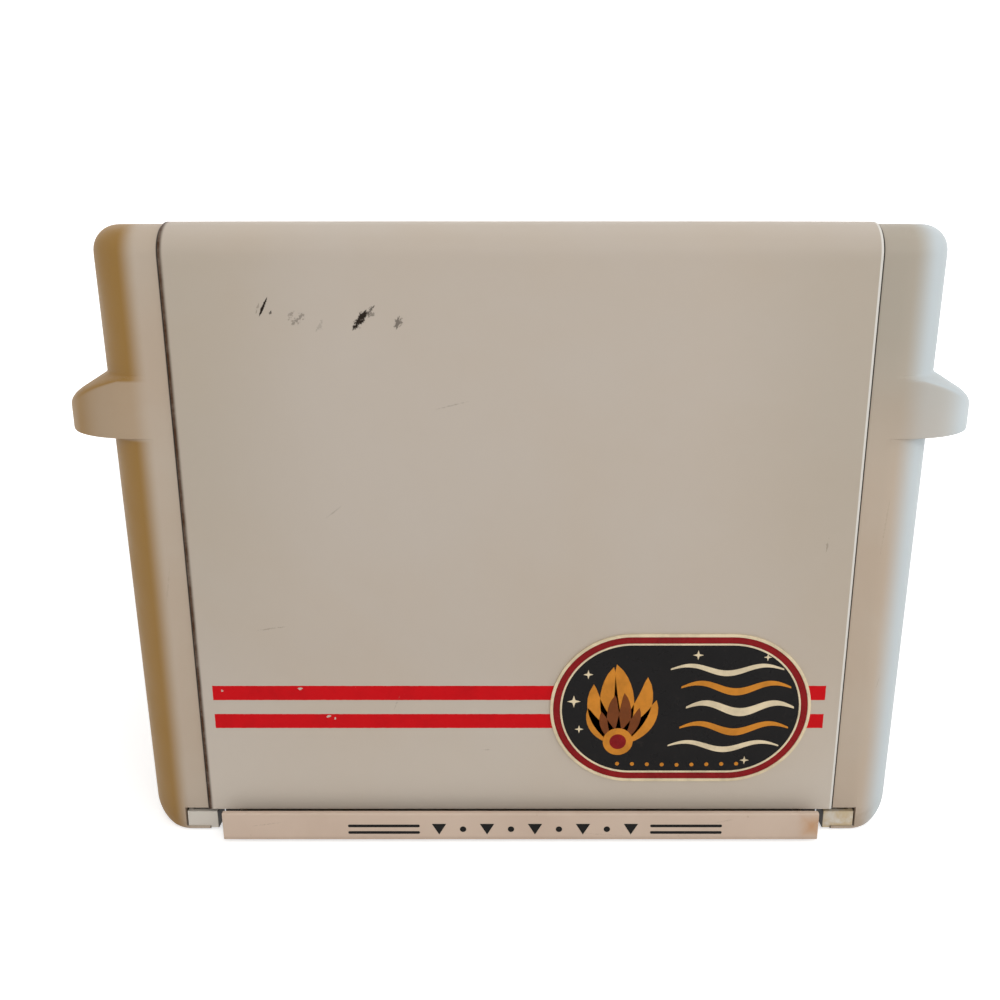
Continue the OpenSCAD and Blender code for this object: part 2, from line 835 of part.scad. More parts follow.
module lift_bracket() {
    color("#a6a9ac") difference() {
        union() {
            block([lift_x0, -beam_half, beam_z0], [lift_x1, beam_half, beam_z1]);
            block([lift_x0, -riser_half, beam_z0], [lift_x1, riser_half, riser_z1]);
            block([lift_x0, magnet_y - magnet_w / 2 + 1, beam_z0],
                [lift_x1, magnet_y + magnet_w / 2 - 1, keeper_z + keeper_t]);
            bar_z(rod_x, rod_y, bush_z0, bush_z0 + bush_l, bush_d);
            block([lift_x1 - eps, rod_y - 2, bush_z0], [rod_x, rod_y + 2, bush_z0 + bush_l]);
            // Tongue that passes through the end cap
            block([lift_x1 - eps, -tongue_t / 2, lever_z - lever_h / 2],
                [tongue_x1, tongue_t / 2, lever_z + lever_h / 2]);
            // Hook plate of the lift spring
            block([lift_x1 - eps, spring_y - 3, riser_z1 - 2], [rod_x + 3, spring_y + 3, riser_z1]);
        }
        bar_z(rod_x, rod_y, bush_z0 - over, bush_z0 + bush_l + over, rod_d + 2 * run_fit);
    }
}

module magnet_keeper() {
    color("#6f7377") block([lift_x1, magnet_y - magnet_w / 2 + 1, keeper_z],
        [magnet_x0 + magnet_l - 1, magnet_y + magnet_w / 2 - 1, keeper_z + keeper_t]);
}

// Arm of a rack, from the lift bracket through the far chassis plate.
module rack_arm(y) {
    block([-plate_x - 3, y - rack_t / 2, rack_z - rack_h], [lift_x0, y + rack_t / 2, rack_z]);
}

module bun_rack(y) {
    color("#b9bcbe") {
        rack_arm(y);
        for (i = [-3:3]) bar_y(i * slot_l / 7, y - rack_wire_reach, y + rack_wire_reach,
            rack_z - rack_wire_d / 2, rack_wire_d);
    }
}

module hot_dog_rack() {
    color("#b9bcbe") {
        rack_arm(0);
        for (x = [-hole_x, hole_x]) bar_z(x, 0, rack_z - 1, rack_z + 1, basket_d - 5);
    }
}

module lift_spring() {
    z0 = riser_z1 + 0.3;
    color("#84888b") translate([rod_x, spring_y, z0])
        coil(top_tab_z - 0.3 - z0, spring_d, spring_wire, spring_turns);
}

module lever_knob() {
    r = 4;
    y0 = lever_knob_w / 2 - r;
    z0 = lever_knob_h / 2 - r;
    color("#2b2826") difference() {
        translate([0, 0, lever_z]) hull() for (y = [-y0, y0], z = [-z0, z0]) {
            bar_x(knob_x0, knob_x0 + knob_l - r, y, z, 2 * r, $fn = 32);
            translate([knob_x0 + knob_l - r, y, z]) sphere(r - 0.5, $fn = 32);
        }
        block([knob_x0 - over, -tongue_t / 2 - run_fit, lever_z - lever_h / 2 - run_fit],
            [tongue_x1 + run_fit, tongue_t / 2 + run_fit, lever_z + lever_h / 2 + run_fit]);
    }
}

// ---------------------------------------------------------------- electrical parts

module holding_magnet() {
    color("#7c4a2a") {
        block([magnet_x0 + 1, magnet_y - magnet_w / 2 + 1, base_z],
            [magnet_x0 + magnet_l - 1, magnet_y + magnet_w / 2 - 1, base_z + 2]);
        bar_z(magnet_x0 + magnet_l / 2, magnet_y, base_z + 2 - eps, base_z + magnet_h - 2, magnet_l - 2);
        bar_z(magnet_x0 + magnet_l / 2, magnet_y, base_z + 2, base_z + magnet_h, 6);
    }
}

module power_switch() {
    x0 = plate_x + power_in;
    top = base_z + power_h;
    color("#3a3632") {
        block([x0, power_y - power_w / 2, base_z], [x0 + power_l, power_y + power_w / 2, top]);
        for (y = [power_y - power_w / 4, power_y + power_w / 4])
            block([x0 + blade_w, y - blade_w / 2, top - eps],
                [x0 + blade_w + blade_t, y + blade_w / 2, top + blade_h]);
    }
}

module terminal_block() {
    x0 = plate_x + tab_l + terminal_gap;
    color("#d9d4c4") difference() {
        block([x0, terminal_y - terminal_w / 2, base_z],
            [x0 + terminal_l, terminal_y + terminal_w / 2, base_z + terminal_l]);
        for (i = [-1:1]) bar_z(x0 + terminal_l / 2, terminal_y + i * terminal_pitch,
            base_z + terminal_l / 2, base_z + terminal_l + over, terminal_hole);
    }
}

module control_board() {
    color("#2e6b45") difference() {
        block([board_x1 - board_t, -board_half, board_z0], [board_x1, board_half, board_z1]);
        for (y = [-post_y, post_y], z = [board_z0 + board_edge, board_z1 - board_edge])
            bar_x(board_x1 - board_t - over, board_x1 + over, y, z, board_screw_d + 2 * run_fit);
    }
}

module board_screws() {
    color("#9a9da0")
        for (y = [-post_y, post_y], z = [board_z0 + board_edge, board_z1 - board_edge]) {
        bar_x(board_x1 - board_t - board_head_h, board_x1 - board_t, y, z, board_head_d);
        bar_x(board_x1 - board_t - eps, board_x1 + board_screw_l, y, z, board_screw_d - 2 * run_fit);
    }
}

module timer_unit() {
    half = timer_w / 2;
    color("#4a4744") difference() {
        block([board_x1, dial_y - half, dial_z - half], [board_x1 + timer_l, dial_y + half, dial_z + half]);
        bar_x(board_x1 + 4, board_x1 + timer_l + over, dial_y, dial_z, shaft_d + 2 * run_fit);
        for (y = [dial_y - half, dial_y + half], z = [dial_z - half, dial_z + half])
            bar_x(board_x1 + timer_l - timer_step, board_x1 + timer_l + over, y, z, timer_notch);
    }
}

module cancel_switch() {
    color("#5a2020") block([board_x1, button_y - switch_w / 2, dial_z - switch_w / 2],
        [board_x1 + switch_l, button_y + switch_w / 2, dial_z + switch_w / 2]);
}

module dial_shaft() {
    color("#d0d2d4") bar_x(board_x1 + 4.2, panel_x1 + dial_h - 3, dial_y, dial_z, shaft_d);
}

// Dial with a finger bar across its face.
module dial_knob() {
    skirt = 3;
    taper = 2;
    r = dial_d / 2;
    x0 = panel_x1 + 0.8;
    color("#2b2826") difference() {
        translate([x0, dial_y, dial_z]) rotate([0, 90, 0]) union() {
            rotate_extrude() polygon([
                [0, 0], [r, 0], [r, skirt], [r - taper, skirt + 1],
                [r - taper - 1, dial_h - 4], [r - taper - 2, dial_h - 3], [0, dial_h - 3]
            ]);
            intersection() {
                translate([-r + taper + 2, -3, skirt]) cube([dial_d - 2 * taper - 4, 6, dial_h - skirt]);
                cylinder(r = r - taper - 2, h = dial_h);
            }
        }
        bar_x(x0 - over, panel_x1 + dial_h - 3 + eps, dial_y, dial_z, shaft_d);
    }
}

module cancel_button() {
    color("#a3211c") {
        bar_x(button_flange_x1 - eps, panel_x1 + button_h, button_y, dial_z, button_d);
        bar_x(button_flange_x1 - flange_t, button_flange_x1, button_y, dial_z,
            button_d + 2 * flange_over);
        bar_x(board_x1 + switch_l + button_travel + 0.3, button_flange_x1, button_y, dial_z, stem_d);
    }
}

module button_spring() {
    x0 = board_x1 + switch_l;
    x1 = button_flange_x1 - flange_t;
    color("#9a9da0") translate([x0 + 0.2, button_y, dial_z]) rotate([0, 90, 0])
        coil(x1 - x0 - 0.4, press_turns, press_wire, press_d);
}

module control_panel() {
    color("#4b423a") difference() {
        along_x(cap_half, panel_x1)
            round_box_2d(-panel_w / 2, panel_w / 2, panel_z0, panel_z1, 8, 8);
        control_holes(cap_half - over, panel_x1 + over);
    }
}

// ---------------------------------------------------------------- baskets, tray and small parts

// Removable wire basket that stands on the rack's disc.
module hot_dog_basket(x) {
    z0 = rack_z + 1;
    hoop_wire = basket_wire + 0.6;
    ring_r = (basket_d - hoop_wire) / 2;
    rim_z = z0 + basket_h - hoop_wire / 2;
    loop_r = 5;
    color("#c6c8ca") translate([x, 0, 0]) {
        difference() {
            translate([0, 0, z0]) cylinder(d = basket_d, h = 1.2);
            for (i = [0:5]) rotate([0, 0, 60 * i]) translate([9, 0, z0 - over])
                cylinder(d = 5, h = 3);
        }
        for (i = [0:basket_bars - 1]) rotate([0, 0, 360 * (i + 0.5) / basket_bars])
            bar_z(ring_r, 0, z0 + 0.6, rim_z, basket_wire);
        for (z = [rim_z, z0 + basket_h / 2]) wire_ring(z, ring_r, hoop_wire);
        // Two finger loops on the rim
        for (s = [-1, 1]) translate([s * ring_r, 0, rim_z + 0.2]) rotate([90, 0, 90])
            rotate_extrude(angle = 180) translate([loop_r, 0]) circle(d = basket_wire, $fn = 24);
    }
}

module crumb_tray() {
    half = tray_w / 2;
    y0 = lip_y1;
    color("#b3a898") {
        difference() {
            block([-half, y0, tray_z0], [half, tray_y1, tray_z1]);
            block([-half + tray_t, y0 + tray_t, tray_z0 + tray_t],
                [half - tray_t, tray_y1 - tray_t, tray_z1 + over]);
        }
        both_ends() block([half - eps, front_y + 5, tray_z1 - tray_t],
            [half + flange_w, tray_y1, tray_z1]);
    }
}

// Upright lip across the front, with a rounded top edge.
module tray_lip() {
    color("#c9b6a4") along_x(-lip_w / 2, lip_w / 2) {
        translate([lip_y0, lip_z0]) square([lip_t, lip_z1 - lip_z0 - lip_round]);
        translate([lip_y0 + lip_round, lip_z0]) square([lip_t - 2 * lip_round, lip_z1 - lip_z0]);
        for (y = [lip_y0 + lip_round, lip_y1 - lip_round]) translate([y, lip_z1 - lip_round])
            circle(lip_round);
    }
}

module cord_grommet() {
    y1 = body_d / 2;
    color("#24211f") difference() {
        union() {
            bar_y(inlet_x, y1, y1 + inlet_flange_t, inlet_z, inlet_flange);
            bar_y(inlet_x, y1 - cover_t - 2, y1 + eps, inlet_z, inlet_neck);
            bar_y(inlet_x, y1 - cover_t - 2, y1 - cover_t, inlet_z, inlet_flange - 2);
        }
        bar_y(inlet_x, y1 - 6, y1 + 6, inlet_z, inlet_d);
    }
}

module cap_screws() {
    head_z = foot_gap + base_fit;
    color("#8f9296") both_ends() front_and_rear() {
        bar_z(screw_x, screw_y, head_z, head_z + head_h, head_d);
        bar_z(screw_x, screw_y, head_z + head_h - eps, base_z - 0.5, screw_d);
    }
}

module chassis_screws() {
    color("#8f9296") both_ends() front_and_rear() {
        bar_z(plate_x + tab_l - 5, tab_y, floor_top, floor_top + head_h, head_d);
        bar_z(plate_x + tab_l - 5, tab_y, base_z - base_t + 0.5, floor_top + eps, screw_d);
    }
}

module rubber_feet() {
    color("#242220") both_ends() front_and_rear() {
        bar_z(foot_x, foot_y, 0, foot_gap + foot_sink, foot_d);
        bar_z(foot_x, foot_y, foot_gap + foot_sink - eps, floor_z + 0.5, peg_d);
    }
}

// ---------------------------------------------------------------- assembly

outer_cover();
left_end_cap();
right_end_cap();
base_frame();
chassis_floor();
left_chassis_plate();
right_chassis_plate();
front_reflector();
rear_reflector();
top_guide_plate();
mica_card(-outer_card_y);  // front_outer_card
mica_card(-inner_card_y);  // front_inner_card
mica_card(inner_card_y);  // rear_inner_card
mica_card(outer_card_y);  // rear_outer_card
heating_ribbon(-outer_card_y);  // front_outer_ribbon
heating_ribbon(-inner_card_y);  // front_inner_ribbon
heating_ribbon(inner_card_y);  // rear_inner_ribbon
heating_ribbon(outer_card_y);  // rear_outer_ribbon
guard_wires(-slot_y);  // front_guard_wires
guard_wires(slot_y);  // rear_guard_wires
guide_rod();
lift_bracket();
bun_rack(-slot_y);  // front_bun_rack
bun_rack(slot_y);  // rear_bun_rack
hot_dog_rack();
lift_spring();
lever_knob();
holding_magnet();
magnet_keeper();
power_switch();
terminal_block();
control_board();
timer_unit();
cancel_switch();
dial_shaft();
dial_knob();
cancel_button();
button_spring();
control_panel();
hot_dog_basket(-hole_x);  // left_basket
hot_dog_basket(hole_x);  // right_basket
crumb_tray();
tray_lip();
badge_plate();
cord_grommet();
cap_screws();
chassis_screws();
board_screws();
rubber_feet();
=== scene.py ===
"""Two-bun hot dog toaster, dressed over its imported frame: sheet, mouldings, print, wear and light."""
import logging
import math
from dataclasses import dataclass, field
from enum import Enum
from typing import Callable, Iterable, Iterator, Sequence

import bmesh
import bpy
from mathutils import Matrix, Vector


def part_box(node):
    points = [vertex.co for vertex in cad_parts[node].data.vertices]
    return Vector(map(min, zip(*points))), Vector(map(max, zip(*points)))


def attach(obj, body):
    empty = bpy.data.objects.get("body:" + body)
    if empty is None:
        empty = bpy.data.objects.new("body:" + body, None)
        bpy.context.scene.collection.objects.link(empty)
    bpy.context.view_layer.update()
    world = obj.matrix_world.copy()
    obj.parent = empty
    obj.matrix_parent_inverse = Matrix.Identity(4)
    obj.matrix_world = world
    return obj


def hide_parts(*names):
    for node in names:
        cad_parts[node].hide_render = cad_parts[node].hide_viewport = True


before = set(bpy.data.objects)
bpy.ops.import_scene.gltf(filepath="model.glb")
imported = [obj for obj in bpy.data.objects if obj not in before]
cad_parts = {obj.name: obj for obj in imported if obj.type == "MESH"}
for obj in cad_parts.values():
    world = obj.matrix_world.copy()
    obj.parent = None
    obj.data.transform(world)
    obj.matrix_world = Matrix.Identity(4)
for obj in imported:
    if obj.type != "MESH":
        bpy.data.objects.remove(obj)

LOG = logging.getLogger("hot_dog_toaster")
MM = 0.001
Colour = tuple[float, float, float]
Point = tuple[float, float, float]
Flat = tuple[float, float]
Socket = bpy.types.NodeSocket
Node = bpy.types.Node
Tree = bpy.types.NodeTree
Material = bpy.types.Material
Part = bpy.types.Object
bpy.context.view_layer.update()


def srgb(red: float, green: float, blue: float) -> Colour:
    """Linear colour of an sRGB colour given in 0 to 255."""
    def linear(value: float) -> float:
        """One channel of it."""
        share = value / 255
        return share / 12.92 if share <= 0.04045 else ((share + 0.055) / 1.055) ** 2.4

    return linear(red), linear(green), linear(blue)


class Side(Enum):
    """The two ends of the toaster."""

    LEFT = -1
    RIGHT = 1


class Texture(Enum):
    """Fine structure that a finish can have."""

    PEEL = "peel"
    BRUSHED_X = "brushed along x"
    BRUSHED_Z = "brushed along z"
    SPANGLE = "zinc spangle"
    FLAKE = "mica flake"
    WOUND = "wound wire"
    CAST = "cast"


# ---------------------------------------------------------------- shader graphs


class Graph:
    """Short spellings for the nodes of one tree."""

    def __init__(self, tree: Tree) -> None:
        """Keeps the tree that the nodes go into."""
        self.tree = tree

    def add(self, kind: str, **settings: object) -> Node:
        """Adds a node and sets its options."""
        node = self.tree.nodes.new(kind)
        for name, value in settings.items():
            setattr(node, name, value)
        return node

    def feed(self, socket: Socket, value: object) -> None:
        """Links another node's output to a socket, or sets the socket's own value.

        Args:
            socket: Input to fill.
            value: Output socket, number, vector or three-part colour.
        """
        if isinstance(value, Socket):
            self.tree.links.new(value, socket)
        elif socket.type == "RGBA" and len(value) == 3:
            socket.default_value = (*value, 1.0)
        else:
            socket.default_value = value

    def fill(self, node: Node, given: dict[object, object]) -> Node:
        """Feeds a node's inputs, named or counted, and gives the node back."""
        for key, value in given.items():
            self.feed(node.inputs[key], value)
        return node

    def math(self, operation: str, *values: object, clamp: bool = False) -> Socket:
        """Output of a Math node over the values."""
        node = self.add("ShaderNodeMath", operation=operation, use_clamp=clamp)
        return self.fill(node, dict(enumerate(values))).outputs[0]

    def vector(self, operation: str, *values: object) -> Socket:
        """Vector output of a Vector Math node over the values."""
        node = self.add("ShaderNodeVectorMath", operation=operation)
        return self.fill(node, dict(enumerate(values))).outputs[0]

    def _chain(self, operation: str, values: Sequence[object]) -> Socket:
        """One operation over all the values, from the first to the last."""
        found, *rest = values
        for value in rest:
            found = self.math(operation, found, value)
        return found

    def times(self, *values: object) -> Socket:
        """Product of the values."""
        return self._chain("MULTIPLY", values)

    def plus(self, *values: object) -> Socket:
        """Sum of the values."""
        return self._chain("ADD", values)

    def most(self, *values: object) -> Socket:
        """Largest of the values."""
        return self._chain("MAXIMUM", values)

    def less(self, value: object, taken: object) -> Socket:
        """The first value less the second."""
        return self.math("SUBTRACT", value, taken)

    def size_of(self, value: object) -> Socket:
        """The value without its sign."""
        return self.math("ABSOLUTE", value)

    def split(self, vector: object) -> tuple[Socket, ...]:
        """The X, Y and Z outputs of a vector."""
        return tuple(self.fill(self.add("ShaderNodeSeparateXYZ"), {0: vector}).outputs)

    def ramp(self, value: object, low: object, high: object, smooth: bool = True,
             start: object = 0.0, end: object = 1.0) -> Socket:
        """Value mapped from low..high to start..end, held at both ends."""
        node = self.add("ShaderNodeMapRange", interpolation_type="SMOOTHSTEP" if smooth else "LINEAR")
        return self.fill(node, {"Value": value, "From Min": low, "From Max": high,
                                "To Min": start, "To Max": end}).outputs["Result"]

    def fall(self, value: object, low: object, high: object) -> Socket:
        """Mask that is whole up to the low value and gone from the high one on."""
        return self.ramp(value, low, high, start=1.0, end=0.0)

    def mix(self, factor: object, first: object, second: object) -> Socket:
        """Colour between the first and the second by the factor."""
        node = self.add("ShaderNodeMix", data_type="RGBA")
        return self.fill(node, {"Factor": factor, 6: first, 7: second}).outputs[2]

    def layered(self, tone: object, *layers: tuple[object, object, float]) -> Socket:
        """Tone with layers of mask, colour and weight laid over it in turn."""
        for mask, colour, weight in layers:
            tone = self.mix(mask if weight == 1 else self.times(mask, weight), tone, colour)
        return tone

    def noise(self, vector: object, scale: object, detail: object = 3.0,
              roughness: float = 0.5, distortion: float = 0.0) -> Socket:
        """Value of a noise texture."""
        return self.fill(self.add("ShaderNodeTexNoise"), {
            "Vector": vector, "Scale": scale, "Detail": detail, "Roughness": roughness,
            "Distortion": distortion}).outputs[0]

    def use(self, group: Tree, output: str, **inputs: object) -> Socket:
        """Output of a node group that is placed with its own input values."""
        given = {name.replace("_", " ").capitalize(): value for name, value in inputs.items()}
        return self.fill(self.add("ShaderNodeGroup", node_tree=group), given).outputs[output]


class GroupMaker(Graph):
    """A shader node group under construction, with its named inputs and outputs."""

    def __init__(self, name: str, inputs: dict[str, float | Point],
                 outputs: Sequence[str] = ("Mask",)) -> None:
        """Makes the group's interface, which begins with a vector.

        Args:
            name: Name of the group.
            inputs: Default of each further input, a number or a vector.
            outputs: Name of each output; all of them are numbers.
        """
        super().__init__(bpy.data.node_groups.new(name, "ShaderNodeTree"))
        for label, default in {"Vector": (0.0, 0.0, 0.0), **inputs}.items():
            kind = "NodeSocketVector" if isinstance(default, tuple) else "NodeSocketFloat"
            socket = self.tree.interface.new_socket(label, in_out="INPUT", socket_type=kind)
            socket.default_value = default
        for label in outputs:
            self.tree.interface.new_socket(label, in_out="OUTPUT", socket_type="NodeSocketFloat")
        self.source = self.add("NodeGroupInput")
        self.target = self.add("NodeGroupOutput")

    def given(self, label: str) -> Socket:
        """The group's input of that name."""
        return self.source.outputs[label]

    def give(self, label: str, value: Socket) -> None:
        """Sends a value to the group's output of that name."""
        self.feed(self.target.inputs[label], value)

    def cloud(self, *settings: object) -> Socket:
        """Noise over the group's vector, with the settings that follow it."""
        return self.noise(self.given("Vector"), *settings)


class SharedEffects:
    """Node groups that several finishes use: patches, grain, brushing, marks, dust and print masks."""

    def __init__(self) -> None:
        """Builds each group once."""
        self.patches = self._patches()
        self.grain = self._grain()
        self.brushing = self._brushing()
        self.panel = self._panel()
        self.stroke = self._stroke()
        self.dust = self._dust()
        self.scratches = self._scratches()

    @staticmethod
    def _patches() -> Tree:
        """Soft cloudy patches of tone over a surface."""
        maker = GroupMaker("cloudy patches", {"Scale": 20.0, "Low": 0.4, "High": 0.65, "Detail": 4.0})
        cloud = maker.cloud(maker.given("Scale"), maker.given("Detail"), 0.6, 0.4)
        maker.give("Mask", maker.ramp(cloud, maker.given("Low"), maker.given("High")))
        return maker.tree

    @staticmethod
    def _grain() -> Tree:
        """Fine even relief at two sizes, such as the peel of sprayed paint or a moulded skin."""
        maker = GroupMaker("fine grain", {"Scale": 900.0, "Coarse": 0.35}, ["Height"])
        fine = maker.cloud(maker.given("Scale"), 2.0)
        wide = maker.cloud(maker.times(maker.given("Scale"), 0.18), 2.0)
        maker.give("Height", maker.plus(fine, maker.times(wide, maker.given("Coarse"))))
        return maker.tree

    @staticmethod
    def _brushing() -> Tree:
        """Long fine lines of brushed or drawn metal, along the axis whose stretch is small."""
        maker = GroupMaker("brushed lines", {"Stretch": (1.0, 1.0, 1.0), "Scale": 600.0},
                           ["Height", "Mask"])
        drawn = maker.vector("MULTIPLY", maker.given("Vector"), maker.given("Stretch"))
        lines = maker.noise(drawn, maker.given("Scale"), 3.0, 0.65)
        maker.give("Height", lines)
        maker.give("Mask", maker.ramp(lines, 0.42, 0.68))
        return maker.tree

    @staticmethod
    def _panel() -> Tree:
        """Box in a surface's own space with ragged edges, for printed stripes and stains."""
        maker = GroupMaker("box mask", {
            "Centre": (0.0, 0.0, 0.0), "Half": (0.01, 0.01, 0.01), "Soft": 0.0001, "Ragged": 0.0,
            "Ragged scale": 400.0})
        away = maker.vector("ABSOLUTE", maker.vector("SUBTRACT", maker.given("Vector"),
                                                     maker.given("Centre")))
        out = maker.most(*maker.split(maker.vector("SUBTRACT", away, maker.given("Half"))))
        wobble = maker.less(maker.cloud(maker.given("Ragged scale"), 4.0), 0.5)
        out = maker.plus(out, maker.times(wobble, maker.given("Ragged")))
        half = maker.times(maker.given("Soft"), 0.5)
        maker.give("Mask", maker.fall(out, maker.times(half, -1.0), half))
        return maker.tree

    @staticmethod
    def _stroke() -> Tree:
        """Tapered worn stroke on a face that looks along Y, of a place, length, width and angle."""
        maker = GroupMaker("worn stroke", {
            "Centre": (0.0, 0.0, 0.0), "Angle": 0.0, "Length": 0.003, "Width": 0.0006,
            "Ragged": 0.0008, "Soft": 0.5, "Noise": 0.5})
        x, y, z = maker.split(maker.vector("SUBTRACT", maker.given("Vector"), maker.given("Centre")))
        cosine = maker.math("COSINE", maker.given("Angle"))
        sine = maker.math("SINE", maker.given("Angle"))
        along = maker.plus(maker.times(x, cosine), maker.times(z, sine))
        across = maker.less(maker.times(z, cosine), maker.times(x, sine))
        share = maker.math("DIVIDE", along, maker.given("Length"))
        taper = maker.math("SUBTRACT", 1.0, maker.times(share, share), clamp=True)
        width = maker.times(maker.given("Width"), taper)
        wobble = maker.times(maker.less(maker.given("Noise"), 0.5), maker.given("Ragged"))
        gap = maker.plus(maker.size_of(across), maker.times(wobble, taper))
        mask = maker.ramp(maker.less(width, gap), 0.0,
                          maker.times(maker.given("Width"), maker.given("Soft")))
        maker.give("Mask", maker.times(mask, maker.fall(maker.size_of(y), 0.001, 0.0012)))
        return maker.tree

    @staticmethod
    def _dust() -> Tree:
        """Dust that settles on the parts of a surface that look up."""
        maker = GroupMaker("settled dust", {"Up": 0.0, "Scale": 60.0, "Amount": 0.2})
        level = maker.ramp(maker.given("Up"), 0.35, 0.95)
        cloud = maker.ramp(maker.cloud(maker.given("Scale"), 5.0, 0.65), 0.35, 0.7)
        specks = maker.ramp(maker.cloud(1400.0, 2.0), 0.62, 0.7)
        maker.give("Mask", maker.times(level, maker.most(cloud, specks), maker.given("Amount")))
        return maker.tree

    @staticmethod
    def _scratches() -> Tree:
        """Sparse hairline scratches in two directions, from stretched cell edges."""
        maker = GroupMaker("hairline scratches", {"Scale": 18.0, "Amount": 0.5})
        masks = []
        for turn, stretch in ((0.5, (1.0, 1.0, 0.12)), (-0.9, (0.10, 1.0, 1.0))):
            rotate = maker.fill(maker.add("ShaderNodeVectorRotate", rotation_type="Y_AXIS"),
                                {"Vector": maker.given("Vector"), "Angle": turn})
            drawn = maker.vector("MULTIPLY", rotate.outputs[0], stretch)
            cells = maker.fill(maker.add("ShaderNodeTexVoronoi", feature="DISTANCE_TO_EDGE"),
                               {"Vector": drawn, "Scale": maker.given("Scale")})
            line = maker.fall(cells.outputs["Distance"], 0.0015, 0.005)
            masks.append(maker.times(line, maker.ramp(maker.cloud(14.0, 3.0, 0.6), 0.56, 0.66)))
        maker.give("Mask", maker.times(maker.most(*masks), maker.given("Amount")))
        return maker.tree


EFFECTS = SharedEffects()


@dataclass(frozen=True)
class Mark:
    """A worn stroke on a front face: middle, angle, length and width in millimetres, and strength."""

    x: float
    z: float
    angle: float
    length: float
    width: float
    depth: float = 1.0
    ragged: float = 2.2
    soft: float = 0.4


class Surface(Graph):
    """One material: its principled shader, object coordinates and a place for each effect."""

    def __init__(self, name: str, roughness: float, metallic: float = 0.0) -> None:
        """Makes the material.

        Args:
            name: Name of the material.
            roughness: Plain roughness, set on the shader's own socket.
            metallic: Plain metallic value, set on the shader's own socket.
        """
        self.material = bpy.data.materials.new(name)
        self.material.use_nodes = True
        super().__init__(self.material.node_tree)
        self.shader = self.tree.nodes["Principled BSDF"]
        self.number("Roughness", roughness)
        self.number("Metallic", metallic)
        self.spot = self.add("ShaderNodeTexCoord").outputs["Object"]
        self.normal = self.split(self.add("ShaderNodeNewGeometry").outputs["Normal"])

    def paint(self, tone: Colour, *layers: tuple[Socket, object, float]) -> None:
        """Gives the shader a base colour with layers over it."""
        self.send("Base Color", self.layered(tone, *layers))

    def number(self, socket: str, value: float) -> None:
        """Sets a plain number on one of the shader's own sockets."""
        self.shader.inputs[socket].default_value = value

    def send(self, socket: str, value: object) -> None:
        """Feeds a changing value or a colour to one of the shader's sockets."""
        self.feed(self.shader.inputs[socket], value)

    def effect(self, group: Tree, output: str = "Mask", **inputs: object) -> Socket:
        """Output of a shared effect over the object coordinates."""
        return self.use(group, output, vector=self.spot, **inputs)

    def patches(self, scale: float, low: float, high: float, detail: float = 4.0) -> Socket:
        """Mask of cloudy patches."""
        return self.effect(EFFECTS.patches, scale=scale, low=low, high=high, detail=detail)

    def dust(self, scale: float, amount: float) -> Socket:
        """Mask of settled dust."""
        return self.effect(EFFECTS.dust, up=self.normal[2], scale=scale, amount=amount)

    def scratches(self, scale: float, amount: float) -> Socket:
        """Mask of hairline scratches."""
        return self.effect(EFFECTS.scratches, scale=scale, amount=amount)

    def strokes(self, marks: Iterable[Mark], front: float) -> Socket:
        """Mask that holds all the given marks on the face at the front."""
        rough = self.noise(self.spot, 850.0, 4.0, 0.85)
        return self.most(*(self.times(self.effect(
            EFFECTS.stroke, noise=rough, soft=mark.soft, ragged=mark.ragged * MM,
            centre=(mark.x * MM, front * MM, mark.z * MM), angle=math.radians(mark.angle),
            length=mark.length * MM / 2, width=mark.width * MM / 2), mark.depth) for mark in marks))

    def band(self, value: Socket, low: float, high: float, soft: float) -> Socket:
        """Mask of the part where a length lies between two sizes in millimetres."""
        return self.times(self.ramp(value, (low - soft) * MM, low * MM),
                          self.fall(value, high * MM, (high + soft) * MM))

    def box(self, centre: Point, half: Point, soft: float, ragged: float = 0.0,
            ragged_scale: float = 400.0) -> Socket:
        """Mask of a box given in millimetres."""
        return self.effect(EFFECTS.panel, centre=tuple(v * MM for v in centre),
                           half=tuple(v * MM for v in half), soft=soft * MM, ragged=ragged * MM,
                           ragged_scale=ragged_scale)

    def bump(self, height: Socket, depth_mm: float, strength: float = 1.0,
             under: Socket | None = None) -> Socket:
        """Normal output of a Bump node.

        Args:
            height: Height in 0 to 1.
            depth_mm: Real depth of that height.
            strength: Strength of the effect.
            under: Normal of a coarser bump that this one lies on.

        Returns:
            The normal, which the caller sends on.
        """
        given = {"Height": height, "Distance": depth_mm * MM, "Strength": strength}
        if under is not None:
            given["Normal"] = under
        return self.fill(self.add("ShaderNodeBump"), given).outputs[0]

    def grain(self, scale: float, coarse: float) -> Socket:
        """Height of a fine grain."""
        return self.effect(EFFECTS.grain, "Height", scale=scale, coarse=coarse)

    def skin(self, scale: float, coarse: float, depth_mm: float, strength: float,
             under: Socket | None = None) -> None:
        """Gives the shader the relief of a fine grain, over a coarser one if there is one."""
        self.send("Normal", self.bump(self.grain(scale, coarse), depth_mm, strength, under))

    def uneven(self, base: float, swing: float, scale: float, high: float = 0.7) -> Socket:
        """Roughness that rises from a base by a swing in cloudy patches."""
        return self.plus(base, self.times(self.patches(scale, 0.3, high), swing))

    def rough(self, base: Socket, mask: Socket, rise: float) -> None:
        """Gives the shader a roughness that rises where the mask is."""
        self.send("Roughness", self.math("ADD", base, self.times(mask, rise), clamp=True))


# ---------------------------------------------------------------- finishes


